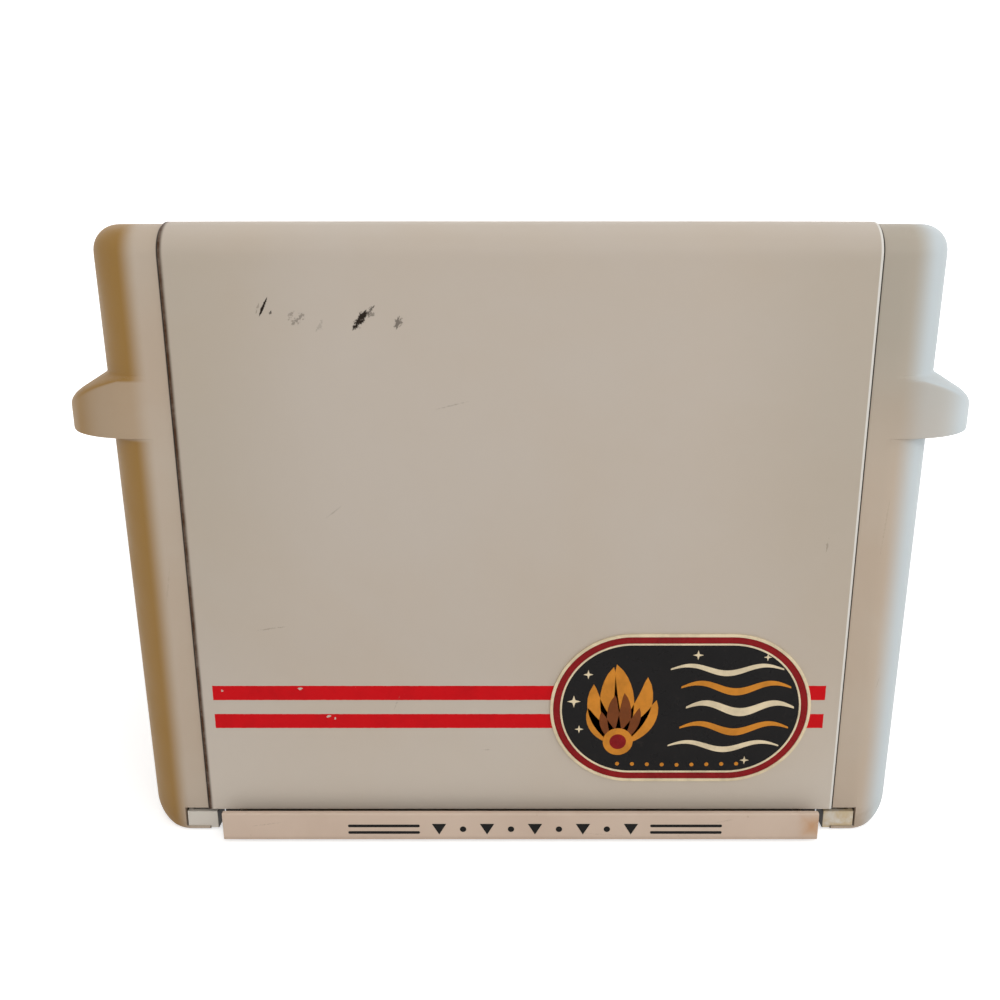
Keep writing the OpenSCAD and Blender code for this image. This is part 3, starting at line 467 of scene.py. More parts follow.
@dataclass(frozen=True)
class PlainFinish:
    """A finish of one substance: two tones in patches, a fine texture, scratches and dust."""

    name: str
    slot: str
    tone: Colour
    other: Colour
    texture: Texture
    roughness: float
    rough_swing: float = 0.12
    metallic: float = 0.0
    patch_scale: float = 45.0
    texture_scale: float = 900.0
    relief_mm: float = 0.02
    dust: float = 0.12
    dust_tone: Colour = srgb(168, 158, 144)
    scratch: float = 0.2
    coat: float = 0.0

    def build(self) -> Material:
        """Makes the material."""
        surface = Surface(self.name, self.roughness, self.metallic)
        height, shade = self._texture(surface)
        darker = tuple(v * 0.72 for v in self.tone)
        brighter = tuple(min(1.0, v * 1.35 + 0.02) for v in self.tone)
        dust = surface.dust(70.0, self.dust)
        surface.paint(
            self.tone, (surface.patches(self.patch_scale, 0.38, 0.66), self.other, 1),
            (shade, darker, 0.35), (surface.scratches(22.0, self.scratch), brighter, 1),
            (dust, self.dust_tone, 1))
        base = surface.uneven(self.roughness - self.rough_swing / 2, self.rough_swing,
                              self.patch_scale * 2.3)
        surface.rough(base, dust, 0.4)
        if self.coat:
            surface.number("Coat Weight", self.coat)
            surface.number("Coat Roughness", 0.12)
        surface.send("Normal", surface.bump(height, self.relief_mm, 0.8))
        return surface.material

    def _texture(self, surface: Surface) -> tuple[Socket, Socket]:
        """Height and tone mask of the finish's fine structure."""
        scale = {"Vector": surface.spot, "Scale": self.texture_scale}
        stretch = {Texture.BRUSHED_X: (0.03, 1.0, 1.0), Texture.BRUSHED_Z: (1.0, 1.0, 0.03)}
        if self.texture in stretch:
            return tuple(surface.effect(EFFECTS.brushing, output, stretch=stretch[self.texture],
                                        scale=self.texture_scale) for output in ("Height", "Mask"))
        if self.texture in (Texture.SPANGLE, Texture.FLAKE):
            cells = surface.fill(surface.add("ShaderNodeTexVoronoi", feature="F1"), scale)
            tone = surface.split(cells.outputs["Color"])[0]
            return surface.times(tone, 0.5), tone
        if self.texture is Texture.WOUND:
            wave = surface.add("ShaderNodeTexWave", wave_type="BANDS", bands_direction="Z")
            wave = surface.fill(wave, {**scale, "Distortion": 1.2}).outputs["Fac"]
            return wave, surface.ramp(wave, 0.6, 0.1)
        height = surface.grain(self.texture_scale, 0.9 if self.texture is Texture.CAST else 0.35)
        return height, surface.ramp(height, 0.5, 1.0)


@dataclass(frozen=True)
class CoverEnamel:
    """Baked almond enamel of the cover, with two red stripes, the wear of long use, and painted light and
    shade: lighter towards the bottom, a painted highlight on the right edge, painted shade along the left
    seam and the lower edge.
    """

    front: float = -89.0
    tone: Colour = srgb(190, 179, 167)
    warm: Colour = srgb(188, 174, 158)
    dull: Colour = srgb(172, 160, 142)
    # Painted light: lighter tone laid over the lower front.
    lower: Colour = srgb(211, 202, 189)
    # Painted shade: brown colour beside the left cap's seam.
    seam_shade_tone: Colour = srgb(66, 40, 20)
    # Painted highlight: pale colour of the cover's right edge.
    edge_highlight_tone: Colour = srgb(228, 226, 220)
    # Painted shade colour for the cover's lower edge.
    grime_and_shade: Colour = srgb(120, 88, 60)
    hair: Colour = srgb(120, 108, 96)
    scuffed: Colour = srgb(38, 30, 24)
    dusty: Colour = srgb(204, 196, 184)
    red: Colour = srgb(199, 3, 15)
    deep_red: Colour = srgb(188, 3, 14)
    stripe_half: float = 2.8
    stripe_mid: float = -0.5
    stripe_reach: float = 109.0
    stripes: tuple[float, ...] = (56.6, 45.5)
    edge: float = 114.5
    scuffs: tuple[Mark, ...] = (
        Mark(-82.2, 192.6, 64, 7.6, 1.1, 1.0, 1.4), Mark(-80.0, 190.8, 62, 1.8, 0.9, 0.8),
        Mark(-84.0, 192.2, 70, 4.2, 0.6, 0.3),
        Mark(-51.6, 188.4, 54, 9.0, 2.4, 1.0, 6.0), Mark(-50.4, 189.0, 56, 6.4, 1.5, 1.0, 4.0),
        Mark(-48.6, 190.8, 48, 7.0, 1.2, 0.75, 4.0), Mark(-52.8, 187.6, 66, 5.0, 1.4, 0.8, 4.5),
        Mark(-47.4, 190.2, 30, 4.0, 0.9, 0.5, 3.5),
        Mark(-71.4, 188.6, 40, 6.4, 2.0, 0.45, 9.0), Mark(-73.4, 189.8, 55, 4.2, 1.2, 0.35, 6.0),
        Mark(-64.6, 186.6, 60, 5.0, 1.4, 0.2, 7.0),
        Mark(-39.4, 187.4, 74, 5.4, 1.6, 0.65, 7.0), Mark(-38.8, 188.6, 20, 2.6, 1.0, 0.6, 4.0))
    hairs: tuple[Mark, ...] = (
        Mark(-22.0, 160.7, 14, 13.0, 0.28, 0.35), Mark(-87.0, 81.4, 8, 12.0, 0.3, 0.35),
        Mark(-63.0, 124.0, 38, 8.0, 0.25, 0.3), Mark(-44.0, 52.9, 68, 7.0, 0.25, 0.3),
        Mark(104.6, 112.4, 84, 6.0, 0.4, 0.45), Mark(-12.0, 34.0, -4, 5.0, 0.3, 0.3))
    chips: tuple[Mark, ...] = (
        Mark(-78.3, 58.4, 0, 2.2, 0.8), Mark(-68.6, 47.4, 20, 2.0, 1.1), Mark(-66.4, 46.6, 80, 1.2, 0.8),
        Mark(-106.0, 57.4, 10, 1.0, 0.6, 0.8), Mark(96.0, 59.2, 0, 1.6, 0.5, 0.8),
        Mark(12.0, 43.2, 0, 1.4, 0.5, 0.8))

    def build(self) -> Material:
        """Makes the material."""
        surface = Surface("almond enamel with red stripes", 0.42)
        x, _, z = surface.split(surface.spot)
        # Painted light: the front's tone grows lighter towards the bottom.
        low = surface.ramp(z, 0.075, 0.0, start=0.0, end=0.4)
        red = surface.layered(self.red, (surface.patches(120.0, 0.4, 0.75), self.deep_red, 1))
        # Painted highlight: a pale line along the cover's right edge only, on the side of the right lamp.
        painted_edge_highlight = surface.band(x, self.edge - 0.75, self.edge - 0.1, 0.12)
        # Painted shade: a dark band along the cover's lower edge, above the gap over the lip.
        grime_and_shade = surface.box((0, self.front, 9.6), (112, 0.8, 1.0), 2.6, 2.0, 120.0)
        scuffs = surface.strokes(self.scuffs, self.front)
        dust = surface.dust(50.0, 0.12)
        surface.paint(
            self.tone, (surface.patches(8.0, 0.3, 0.75), self.warm, 1),
            (self._edges(surface, x, z), self.dull, 0.45), (low, self.lower, 1),
            (self._stripes(surface), red, 1), (self._left_seam_shade(surface, x), self.seam_shade_tone, 1),
            (painted_edge_highlight, self.edge_highlight_tone, 0.75), (grime_and_shade, self.grime_and_shade, 0.06),
            (surface.strokes(self.hairs, self.front), self.hair, 1), (scuffs, self.scuffed, 1),
            (dust, self.dusty, 1))
        surface.rough(surface.uneven(0.38, 0.08, 30.0, 0.75), surface.most(scuffs, dust), 0.4)
        surface.number("Specular IOR Level", 0.12)
        waves = surface.bump(surface.noise(surface.spot, 7.0, 1.0), 0.5, 0.3)
        surface.skin(1300.0, 0.7, 0.012, 0.5, waves)
        return surface.material

    def _edges(self, surface: Surface, x: Socket, z: Socket) -> Socket:
        """Mask of the duller paint towards the upper ends of the front."""
        outer = surface.ramp(surface.size_of(x), 0.055, 0.112)
        return surface.times(outer, surface.ramp(z, 0.03, 0.15), surface.ramp(z, 0.219, 0.205))

    def _stripes(self, surface: Surface) -> Socket:
        """Mask of the two printed stripes, chipped in places."""
        stripes = surface.most(*(
            surface.box((self.stripe_mid, self.front, height),
                        (self.stripe_reach, 0.6, self.stripe_half), 0.12, 0.22, 700.0)
            for height in self.stripes))
        specks = surface.ramp(surface.noise(surface.spot, 1100.0, 2.0), 0.76, 0.8)
        worn = surface.most(surface.strokes(self.chips, self.front), surface.times(specks, 0.4))
        return surface.math("MULTIPLY", stripes, surface.less(1.0, worn), clamp=True)

    def _left_seam_shade(self, surface: Surface, x: Socket) -> Socket:
        """Mask of the painted brown shade on the paint beside the left cap, broken in places."""
        broken = surface.ramp(surface.noise(surface.spot, 90.0, 4.0, 0.7), 0.25, 0.6, start=0.75)
        return surface.times(surface.ramp(x, -0.1127, -0.1140), broken)


@dataclass(frozen=True)
class CapMoulding:
    """Moulded skin of the end caps: matt almond; at the left end yellowed plastic with painted warm shade
    and reflection, at the right end a painted cool window reflection.
    """

    front: float = -88.2
    tone: Colour = srgb(186, 171, 154)
    other: Colour = srgb(183, 165, 146)
    dull: Colour = srgb(158, 153, 141)
    browned_and_shaded: Colour = srgb(150, 114, 58)
    painted_cool_reflection: Colour = srgb(188, 196, 199)
    grime_and_shade: Colour = srgb(120, 92, 64)
    seam_dirt_and_shade: Colour = srgb(24, 15, 9)
    rubbed: Colour = srgb(150, 136, 118)
    dusty: Colour = srgb(206, 197, 184)
    turn_left: Flat = (-0.1215, -0.1285)
    turn_right: Flat = (0.1245, 0.1345)
    rib: Flat = (149.5, 167.0)
    seam_band: Flat = (112.0, 115.0)
    rubs: tuple[Mark, ...] = (
        Mark(-122.0, 96.0, 80, 18.0, 0.4, 0.25), Mark(124.0, 118.0, 86, 24.0, 0.4, 0.25),
        Mark(128.0, 62.0, 75, 12.0, 0.35, 0.3))

    def build(self) -> Material:
        """Makes the material."""
        surface = Surface("almond cap moulding", 0.46)
        x, y, z = surface.split(surface.spot)
        dull = surface.times(surface.ramp(z, 0.13, 0.19), surface.ramp(x, 0.0, 0.11))
        turned = self._turned(surface, y, z)
        # Left end: yellowed plastic, with painted warm shade and reflection on the faces that look
        # sideways.
        left = surface.times(surface.ramp(x, *self.turn_left), turned)
        # Right end: painted cool reflection of window light on the faces that look sideways.
        right = surface.times(surface.ramp(x, *self.turn_right), turned)
        # Patchy grime towards the foot of the caps.
        toe = surface.times(surface.ramp(z, 0.014, 0.002), surface.patches(90.0, 0.3, 0.75))
        # Dirt in the joint, with painted shade standing in for the shadow in the gap at the cover's edge.
        seam_dirt_and_shade = surface.band(surface.size_of(x), *self.seam_band, 0.3)
        dust = surface.dust(50.0, 0.15)
        surface.paint(
            self.tone, (surface.patches(14.0, 0.35, 0.7), self.other, 1), (dull, self.dull, 0.6),
            (left, self.browned_and_shaded, 1), (right, self.painted_cool_reflection, 0.95), (toe, self.grime_and_shade, 0.4),
            (seam_dirt_and_shade, self.seam_dirt_and_shade, 0.9), (surface.strokes(self.rubs, self.front), self.rubbed, 1),
            (dust, self.dusty, 1))
        surface.rough(surface.uneven(0.42, 0.1, 40.0), dust, 0.5)
        surface.number("Specular IOR Level", 0.2)
        sink = surface.bump(surface.noise(surface.spot, 16.0, 1.0), 0.3, 0.3)
        surface.skin(1700.0, 0.5, 0.016, 0.6, sink)
        return surface.material

    def _turned(self, surface: Surface, y: Socket, z: Socket) -> Socket:
        """Mask, by the way each face looks, of where the end tones with their painted shade and reflection
        reach: weak on the rib's front and to the rear.
        """
        frontal = surface.ramp(surface.normal[1], -0.96, -0.7, start=0.4)
        off_rib = surface.less(1.0, surface.band(z, *self.rib, 2.0))
        return surface.times(surface.most(frontal, off_rib),
                             surface.ramp(y, -0.062, -0.02, start=1.0, end=0.45))


@dataclass(frozen=True)
class LipPaint:
    """Painted lip of the crumb tray, a little pinker than the cover, with a burnt-on drip."""

    front: float = -95.5
    tone: Colour = srgb(202, 181, 163)
    other: Colour = srgb(194, 172, 154)
    drip: Colour = srgb(180, 124, 62)
    spot: Colour = srgb(138, 98, 62)
    toe: Colour = srgb(134, 104, 78)
    rubbed: Colour = srgb(150, 130, 112)
    dusty: Colour = srgb(214, 204, 190)
    rubs: tuple[Mark, ...] = (
        Mark(-92.0, 7.6, 8, 12.0, 0.4, 0.3), Mark(30.0, 3.4, -4, 16.0, 0.35, 0.25),
        Mark(74.0, 9.0, 12, 9.0, 0.4, 0.3))

    def build(self) -> Material:
        """Makes the material."""
        surface = Surface("tray lip paint", 0.42)
        drip = surface.box((105.6, self.front, 6.6), (2.0, 2.2, 2.2), 8.0, 4.0, 200.0)
        spots = surface.ramp(surface.noise(surface.spot, 240.0, 3.0, 0.6), 0.7, 0.76)
        toe = surface.ramp(surface.split(surface.spot)[2], 0.0032, 0.0012)
        surface.paint(
            self.tone, (surface.patches(20.0, 0.3, 0.75), self.other, 1), (drip, self.drip, 0.8),
            (spots, self.spot, 0.25), (toe, self.toe, 0.3),
            (surface.strokes(self.rubs, self.front), self.rubbed, 1),
            (surface.dust(80.0, 0.15), self.dusty, 1))
        surface.send("Roughness", surface.uneven(0.38, 0.12, 60.0))
        surface.number("Specular IOR Level", 0.3)
        surface.skin(1400.0, 0.6, 0.014, 0.6)
        return surface.material


@dataclass(frozen=True)
class BaseMoulding:
    """Cream moulding of the base: bright on the corner blocks, with painted shade in the gaps beside and
    above them.
    """

    tone: Colour = srgb(208, 201, 190)
    stained: Colour = srgb(190, 164, 116)
    painted_gap_shade: Colour = srgb(34, 25, 18)
    block_x: float = 0.1124
    block_top: float = 0.0077
    front: float = 0.07

    def build(self) -> Material:
        """Makes the material."""
        surface = Surface("cream base moulding", 0.5)
        x, y, z = surface.split(surface.spot)
        stains = surface.times(surface.patches(150.0, 0.35, 0.6), surface.ramp(x, 0.0, 0.02))
        # Painted shade: near-black in the gaps beside and above the corner blocks, where the shadow falls.
        beside = surface.ramp(surface.size_of(x), self.block_x, self.block_x - 0.0004)
        above = surface.ramp(z, self.block_top, self.block_top + 0.0004)
        outer = surface.ramp(surface.size_of(y), self.front, self.front + 0.002)
        surface.paint(
            self.tone, (stains, self.stained, 0.7),
            (surface.times(surface.most(beside, above), outer), self.painted_gap_shade, 1))
        surface.send("Roughness", surface.ramp(surface.patches(60.0, 0.3, 0.7), 0.0, 1.0,
                                               start=0.45, end=0.6))
        surface.number("Specular IOR Level", 0.25)
        surface.skin(1500.0, 0.6, 0.014, 0.7)
        return surface.material


@dataclass(frozen=True)
class PrintInk:
    """Printed or enamelled colour on a small raised field, rubbed thin in places."""

    name: str
    tone: Colour
    under: Colour
    roughness: float = 0.32
    worn: float = 0.12

    def build(self) -> Material:
        """Makes the material."""
        surface = Surface(self.name, self.roughness)
        deeper = tuple(v * 0.8 for v in self.tone)
        thin = surface.patches(420.0, 0.62, 0.72, 5.0)
        surface.paint(
            self.tone, (surface.patches(160.0, 0.35, 0.7), deeper, 1), (thin, self.under, self.worn))
        surface.send("Roughness", surface.uneven(self.roughness - 0.04, 0.1, 200.0))
        surface.number("Specular IOR Level", 0.12)
        surface.skin(2200.0, 0.5, 0.01, 0.6)
        return surface.material


def all_finishes() -> dict[str, Material]:
    """Every material by the record's slot it belongs to, or by its own plain name."""
    zinc, steel = srgb(176, 180, 183), srgb(206, 208, 209)
    plain = [
        PlainFinish("zinc-coated sheet", "galvanised", zinc, srgb(150, 155, 160), Texture.SPANGLE, 0.42,
                    metallic=0.85, texture_scale=260.0, relief_mm=0.004, dust=0.3),
        PlainFinish("bright guide sheet", "bright_sheet", steel, srgb(188, 184, 176),
                    Texture.BRUSHED_X, 0.28, metallic=0.95, relief_mm=0.006, dust=0.15),
        PlainFinish("mica card", "mica", srgb(196, 182, 140), srgb(160, 138, 92), Texture.FLAKE,
                    0.36, texture_scale=420.0, relief_mm=0.02, patch_scale=60.0, coat=0.4),
        PlainFinish("heating ribbon", "heating_alloy", srgb(120, 112, 104), srgb(84, 76, 72),
                    Texture.BRUSHED_X, 0.45, metallic=0.9, relief_mm=0.004),
        PlainFinish("plated wire", "wire_steel", srgb(198, 199, 200), srgb(160, 152, 140),
                    Texture.CAST, 0.26, metallic=1.0, relief_mm=0.004, dust=0.1),
        PlainFinish("spring steel", "spring_steel", srgb(140, 144, 148), srgb(112, 112, 114),
                    Texture.PEEL, 0.34, metallic=1.0, relief_mm=0.003),
        PlainFinish("dark knob moulding", "black_plastic", srgb(44, 40, 37), srgb(56, 51, 47),
                    Texture.CAST, 0.42, texture_scale=1500.0, dust=0.3, scratch=0.4),
        PlainFinish("switch housing", "switch_plastic", srgb(60, 56, 52), srgb(72, 66, 60),
                    Texture.PEEL, 0.5, dust=0.4),
        PlainFinish("magnet winding", "copper_coil", srgb(150, 82, 44), srgb(110, 58, 32),
                    Texture.WOUND, 0.35, metallic=0.8, texture_scale=420.0, relief_mm=0.15),
        PlainFinish("soft iron", "iron", srgb(118, 120, 122), srgb(92, 84, 78), Texture.BRUSHED_Z,
                    0.45, metallic=0.9, relief_mm=0.006),
        PlainFinish("glazed terminal", "porcelain", srgb(226, 220, 204), srgb(214, 204, 184),
                    Texture.PEEL, 0.2, dust=0.3, coat=0.5),
        PlainFinish("circuit board", "board", srgb(40, 96, 62), srgb(34, 84, 54), Texture.BRUSHED_Z,
                    0.38, texture_scale=500.0, relief_mm=0.01),
        PlainFinish("red button", "red_plastic", srgb(164, 26, 24), srgb(150, 22, 22), Texture.PEEL,
                    0.3, coat=0.3),
        PlainFinish("dark control panel", "panel_print", srgb(66, 57, 49), srgb(74, 64, 54),
                    Texture.CAST, 0.4, texture_scale=1300.0, dust=0.2, scratch=0.35),
        PlainFinish("tray enamel", "tray_steel", srgb(178, 166, 150), srgb(150, 122, 88),
                    Texture.PEEL, 0.34, patch_scale=80.0, dust=0.3, coat=0.2),
        PlainFinish("foot rubber", "foot_rubber", srgb(38, 36, 34), srgb(48, 45, 42), Texture.CAST,
                    0.72, texture_scale=1100.0, dust=0.4),
        PlainFinish("print on the panel", "panel_marks", srgb(222, 212, 192), srgb(204, 192, 170),
                    Texture.PEEL, 0.4)]
    inks = [
        PrintInk("black print", srgb(20, 19, 18), srgb(176, 158, 142), 0.34, 0.12),
        PrintInk("cream keyline", srgb(226, 208, 174), srgb(190, 160, 120), 0.3),
        PrintInk("dark red ring", srgb(136, 16, 20), srgb(90, 12, 14), 0.28),
        PrintInk("black field", srgb(20, 18, 18), srgb(70, 60, 54), 0.3),
        PrintInk("amber flame", srgb(206, 132, 44), srgb(150, 84, 26), 0.32),
        PrintInk("brown flame", srgb(118, 62, 26), srgb(84, 42, 18), 0.34)]
    found = {finish.slot: finish.build() for finish in plain}
    found.update({ink.name: ink.build() for ink in inks})
    found["cover_paint"] = CoverEnamel().build()
    found["cap_plastic"] = CapMoulding().build()
    found["lip_paint"] = LipPaint().build()
    found["base_plastic"] = BaseMoulding().build()
    return found


# ---------------------------------------------------------------- mesh work


def placed(name: str, data: bpy.types.ID) -> Part:
    """New object of that data in the scene."""
    found = bpy.data.objects.new(name, data)
    bpy.context.scene.collection.objects.link(found)
    return found


def baked(part: Part) -> bpy.types.Mesh:
    """Mesh of the object as it stands with its modifiers or its letters."""
    bpy.context.view_layer.update()
    return bpy.data.meshes.new_from_object(part.evaluated_get(bpy.context.evaluated_depsgraph_get()))


def polar(x: float, y: float, radius: float, turn: float) -> Flat:
    """Point at a radius and an angle, in radians, from a centre."""
    return x + radius * math.cos(turn), y + radius * math.sin(turn)


def ring_outline(centre: Flat, radius: float, steps: int = 48) -> list[Flat]:
    """Corners of a circle."""
    return [polar(*centre, radius, 2 * math.pi * k / steps) for k in range(steps)]


def rounded_outline(low: Flat, high: Flat, radius: float, steps: int = 10) -> list[Flat]:
    """Corners of a rectangle with four equal round corners."""
    corners = ((high[0] - radius, high[1] - radius, 0), (low[0] + radius, high[1] - radius, 90),
               (low[0] + radius, low[1] + radius, 180), (high[0] - radius, low[1] + radius, 270))
    return [polar(x, y, radius, math.radians(start + 90 * k / steps))
            for x, y, start in corners for k in range(steps + 1)]


class Shaper:
    """Makes, cuts and finishes meshes; sizes come in millimetres."""

    @staticmethod
    def add(name: str, points: Sequence[Point], faces: Sequence[Sequence[int]]) -> Part:
        """Object with a closed mesh whose faces look outwards."""
        mesh = bpy.data.meshes.new(name)
        mesh.from_pydata([tuple(v * MM for v in p) for p in points], [], [tuple(f) for f in faces])
        work = bmesh.new()
        work.from_mesh(mesh)
        bmesh.ops.remove_doubles(work, verts=work.verts, dist=1e-7)
        bmesh.ops.recalc_face_normals(work, faces=work.faces)
        work.to_mesh(mesh)
        work.free()
        return placed(name, mesh)

    @classmethod
    def prism(cls, name: str, outline: Sequence[Flat], low: float, high: float, axis: str) -> Part:
        """Outline pushed along an axis.

        Args:
            name: Name of the object.
            outline: Corners in the other two axes, in X, Y, Z order.
            low: Start on the axis.
            high: End on the axis.
            axis: One of x, y and z.

        Returns:
            The closed solid.
        """
        def at(a: float, b: float, level: float) -> Point:
            """The corner in space."""
            return {"x": (level, a, b), "y": (a, level, b), "z": (a, b, level)}[axis]

        n = len(outline)
        points = [at(a, b, level) for level in (low, high) for a, b in outline]
        faces = [list(range(n)), list(range(n, 2 * n))]
        faces += [[i, (i + 1) % n, n + (i + 1) % n, n + i] for i in range(n)]
        return cls.add(name, points, faces)

    @classmethod
    def box(cls, name: str, low: Point, high: Point) -> Part:
        """Box between two corners."""
        outline = [(low[0], low[1]), (high[0], low[1]), (high[0], high[1]), (low[0], high[1])]
        return cls.prism(name, outline, low[2], high[2], "z")

    @classmethod
    def turned(cls, name: str, profile: Sequence[Flat], centre: Flat, x0: float, steps: int = 64,
               ripple: Callable[[float, float], float] | None = None) -> Part:
        """Profile of (height, radius) turned round an axis along X.

        Args:
            name: Name of the object.
            profile: Points from the axis at the back to the axis at the front.
            centre: Y and Z of the axis.
            x0: Where the profile's height starts.
            steps: Points round the axis.
            ripple: Change of the radius from the height and the angle.

        Returns:
            The closed solid.
        """
        points, faces = [], []
        for height, radius in profile:
            for k in range(steps):
                turn = 2 * math.pi * k / steps
                r = radius + (ripple(height, turn) if ripple and radius > 0.01 else 0.0)
                points.append((x0 + height, *polar(*centre, r, turn)))
        for i in range(len(profile) - 1):
            for k in range(steps):
                a, b = i * steps + k, i * steps + (k + 1) % steps
                faces.append([a, b, b + steps, a + steps])
        faces += [list(range(steps)), list(range(len(points) - steps, len(points)))]
        return cls.add(name, points, faces)

    @staticmethod
    def settle(part: Part) -> Part:
        """Bakes the part's modifiers into its mesh."""
        mesh = baked(part)
        part.modifiers.clear()
        part.data = mesh
        return part

    @classmethod
    def combine(cls, part: Part, others: Sequence[Part], operation: str = "DIFFERENCE") -> None:
        """Takes the others out of the part, or joins them to it with UNION."""
        for other in others:
            boolean = part.modifiers.new("combined", "BOOLEAN")
            boolean.operation, boolean.solver, boolean.object = operation, "EXACT", other
        cls.settle(part)
        for other in others:
            bpy.data.objects.remove(other)

    @classmethod
    def ease(cls, part: Part, width: float, segments: int, angle: float) -> Part:
        """Rounds the part's sharp edges a little."""
        bevel = part.modifiers.new("eased edges", "BEVEL")
        bevel.width, bevel.segments = width * MM, segments
        bevel.limit_method, bevel.angle_limit = "ANGLE", math.radians(angle)
        bevel.use_clamp_overlap = True
        return cls.settle(part)

    @staticmethod
    def smooth(part: Part, angle: float = 20.0) -> Part:
        """Smooth shading with edges above the angle kept sharp."""
        part.data.shade_smooth()
        part.data.set_sharp_from_angle(angle=math.radians(angle))
        return part

    @staticmethod
    def join(name: str, parts: Sequence[Part]) -> Part:
        """One object out of several, without their materials."""
        work = bmesh.new()
        for part in parts:
            work.from_mesh(part.data)
        mesh = bpy.data.meshes.new(name)
        work.to_mesh(mesh)
        work.free()
        for part in parts:
            bpy.data.objects.remove(part)
        return placed(name, mesh)


class Assembly:
    """Materials for the sub-assemblies, and the hand-over of their finished pieces."""

    def __init__(self, finishes: dict[str, Material]) -> None:
        """Keeps the materials."""
        self.finishes = finishes

    def dress(self, part: Part, finish: str, body: str,
              replaced: Sequence[str] = ()) -> None:
        """Gives a piece its material and its body, and hides the nodes it stands for.

        Args:
            part: Finished object.
            finish: Key of its material.
            body: Body it rides on.
            replaced: Nodes it stands for.
        """
        part.data.materials.clear()
        part.data.materials.append(self.finishes[finish])
        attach(part, body)
        if replaced:
            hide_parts(*replaced)
        LOG.info("%s rides on %s in %s", part.name, body, finish)


# ---------------------------------------------------------------- housing


@dataclass
class SheetCover:
    """Wrap-around cover: bent sheet with four food openings and the cord's hole."""

    half_length: float = 114.5
    half_depth: float = 89.0
    low: float = 9.4
    top: float = 219.0
    bend: float = 11.0
    bend_steps: int = 12
    sheet: float = 0.8
    edge_round: float = 0.22
    slot_half: Flat = (61.2, 19.2)
    slot_y: float = 46.0
    slot_corner: float = 7.2
    hole_x: float = 38.0
    hole_r: float = 21.2
    top_cut: Flat = (210.0, 222.0)
    inlet: Flat = (88.0, 34.0)
    inlet_r: float = 5.8
    rear_cut: Flat = (80.0, 95.0)

    def side(self, inset: float) -> list[Flat]:
        """Side outline from the front's lower edge over the top to the rear's."""
        half, radius = self.half_depth - inset, self.bend - inset
        centre_y, centre_z = self.half_depth - self.bend, self.top - self.bend
        bent = [polar(y, centre_z, radius, math.radians(start - 90 * k / self.bend_steps))
                for start, y in ((180, -centre_y), (90, centre_y)) for k in range(self.bend_steps + 1)]
        return [(-half, self.low), *bent, (half, self.low)]

    def build(self, kit: Assembly) -> None:
        """Makes the cover and hands it over."""
        outline = self.side(0.0) + self.side(self.sheet)[::-1]
        cover = Shaper.prism("sheet_cover", outline, -self.half_length, self.half_length, "x")
        x_half, y_half = self.slot_half
        shapes = [rounded_outline((-x_half, y - y_half), (x_half, y + y_half), self.slot_corner)
                  for y in (-self.slot_y, self.slot_y)]
        shapes += [ring_outline((x, 0), self.hole_r) for x in (-self.hole_x, self.hole_x)]
        cutters = [Shaper.prism("opening", shape, *self.top_cut, "z") for shape in shapes]
        inlet = ring_outline(self.inlet, self.inlet_r)
        Shaper.combine(cover, [*cutters, Shaper.prism("inlet", inlet, *self.rear_cut, "y")])
        Shaper.ease(cover, self.edge_round, 2, 50)
        Shaper.smooth(cover)
        kit.dress(cover, "cover_paint", "housing", ["outer_cover"])


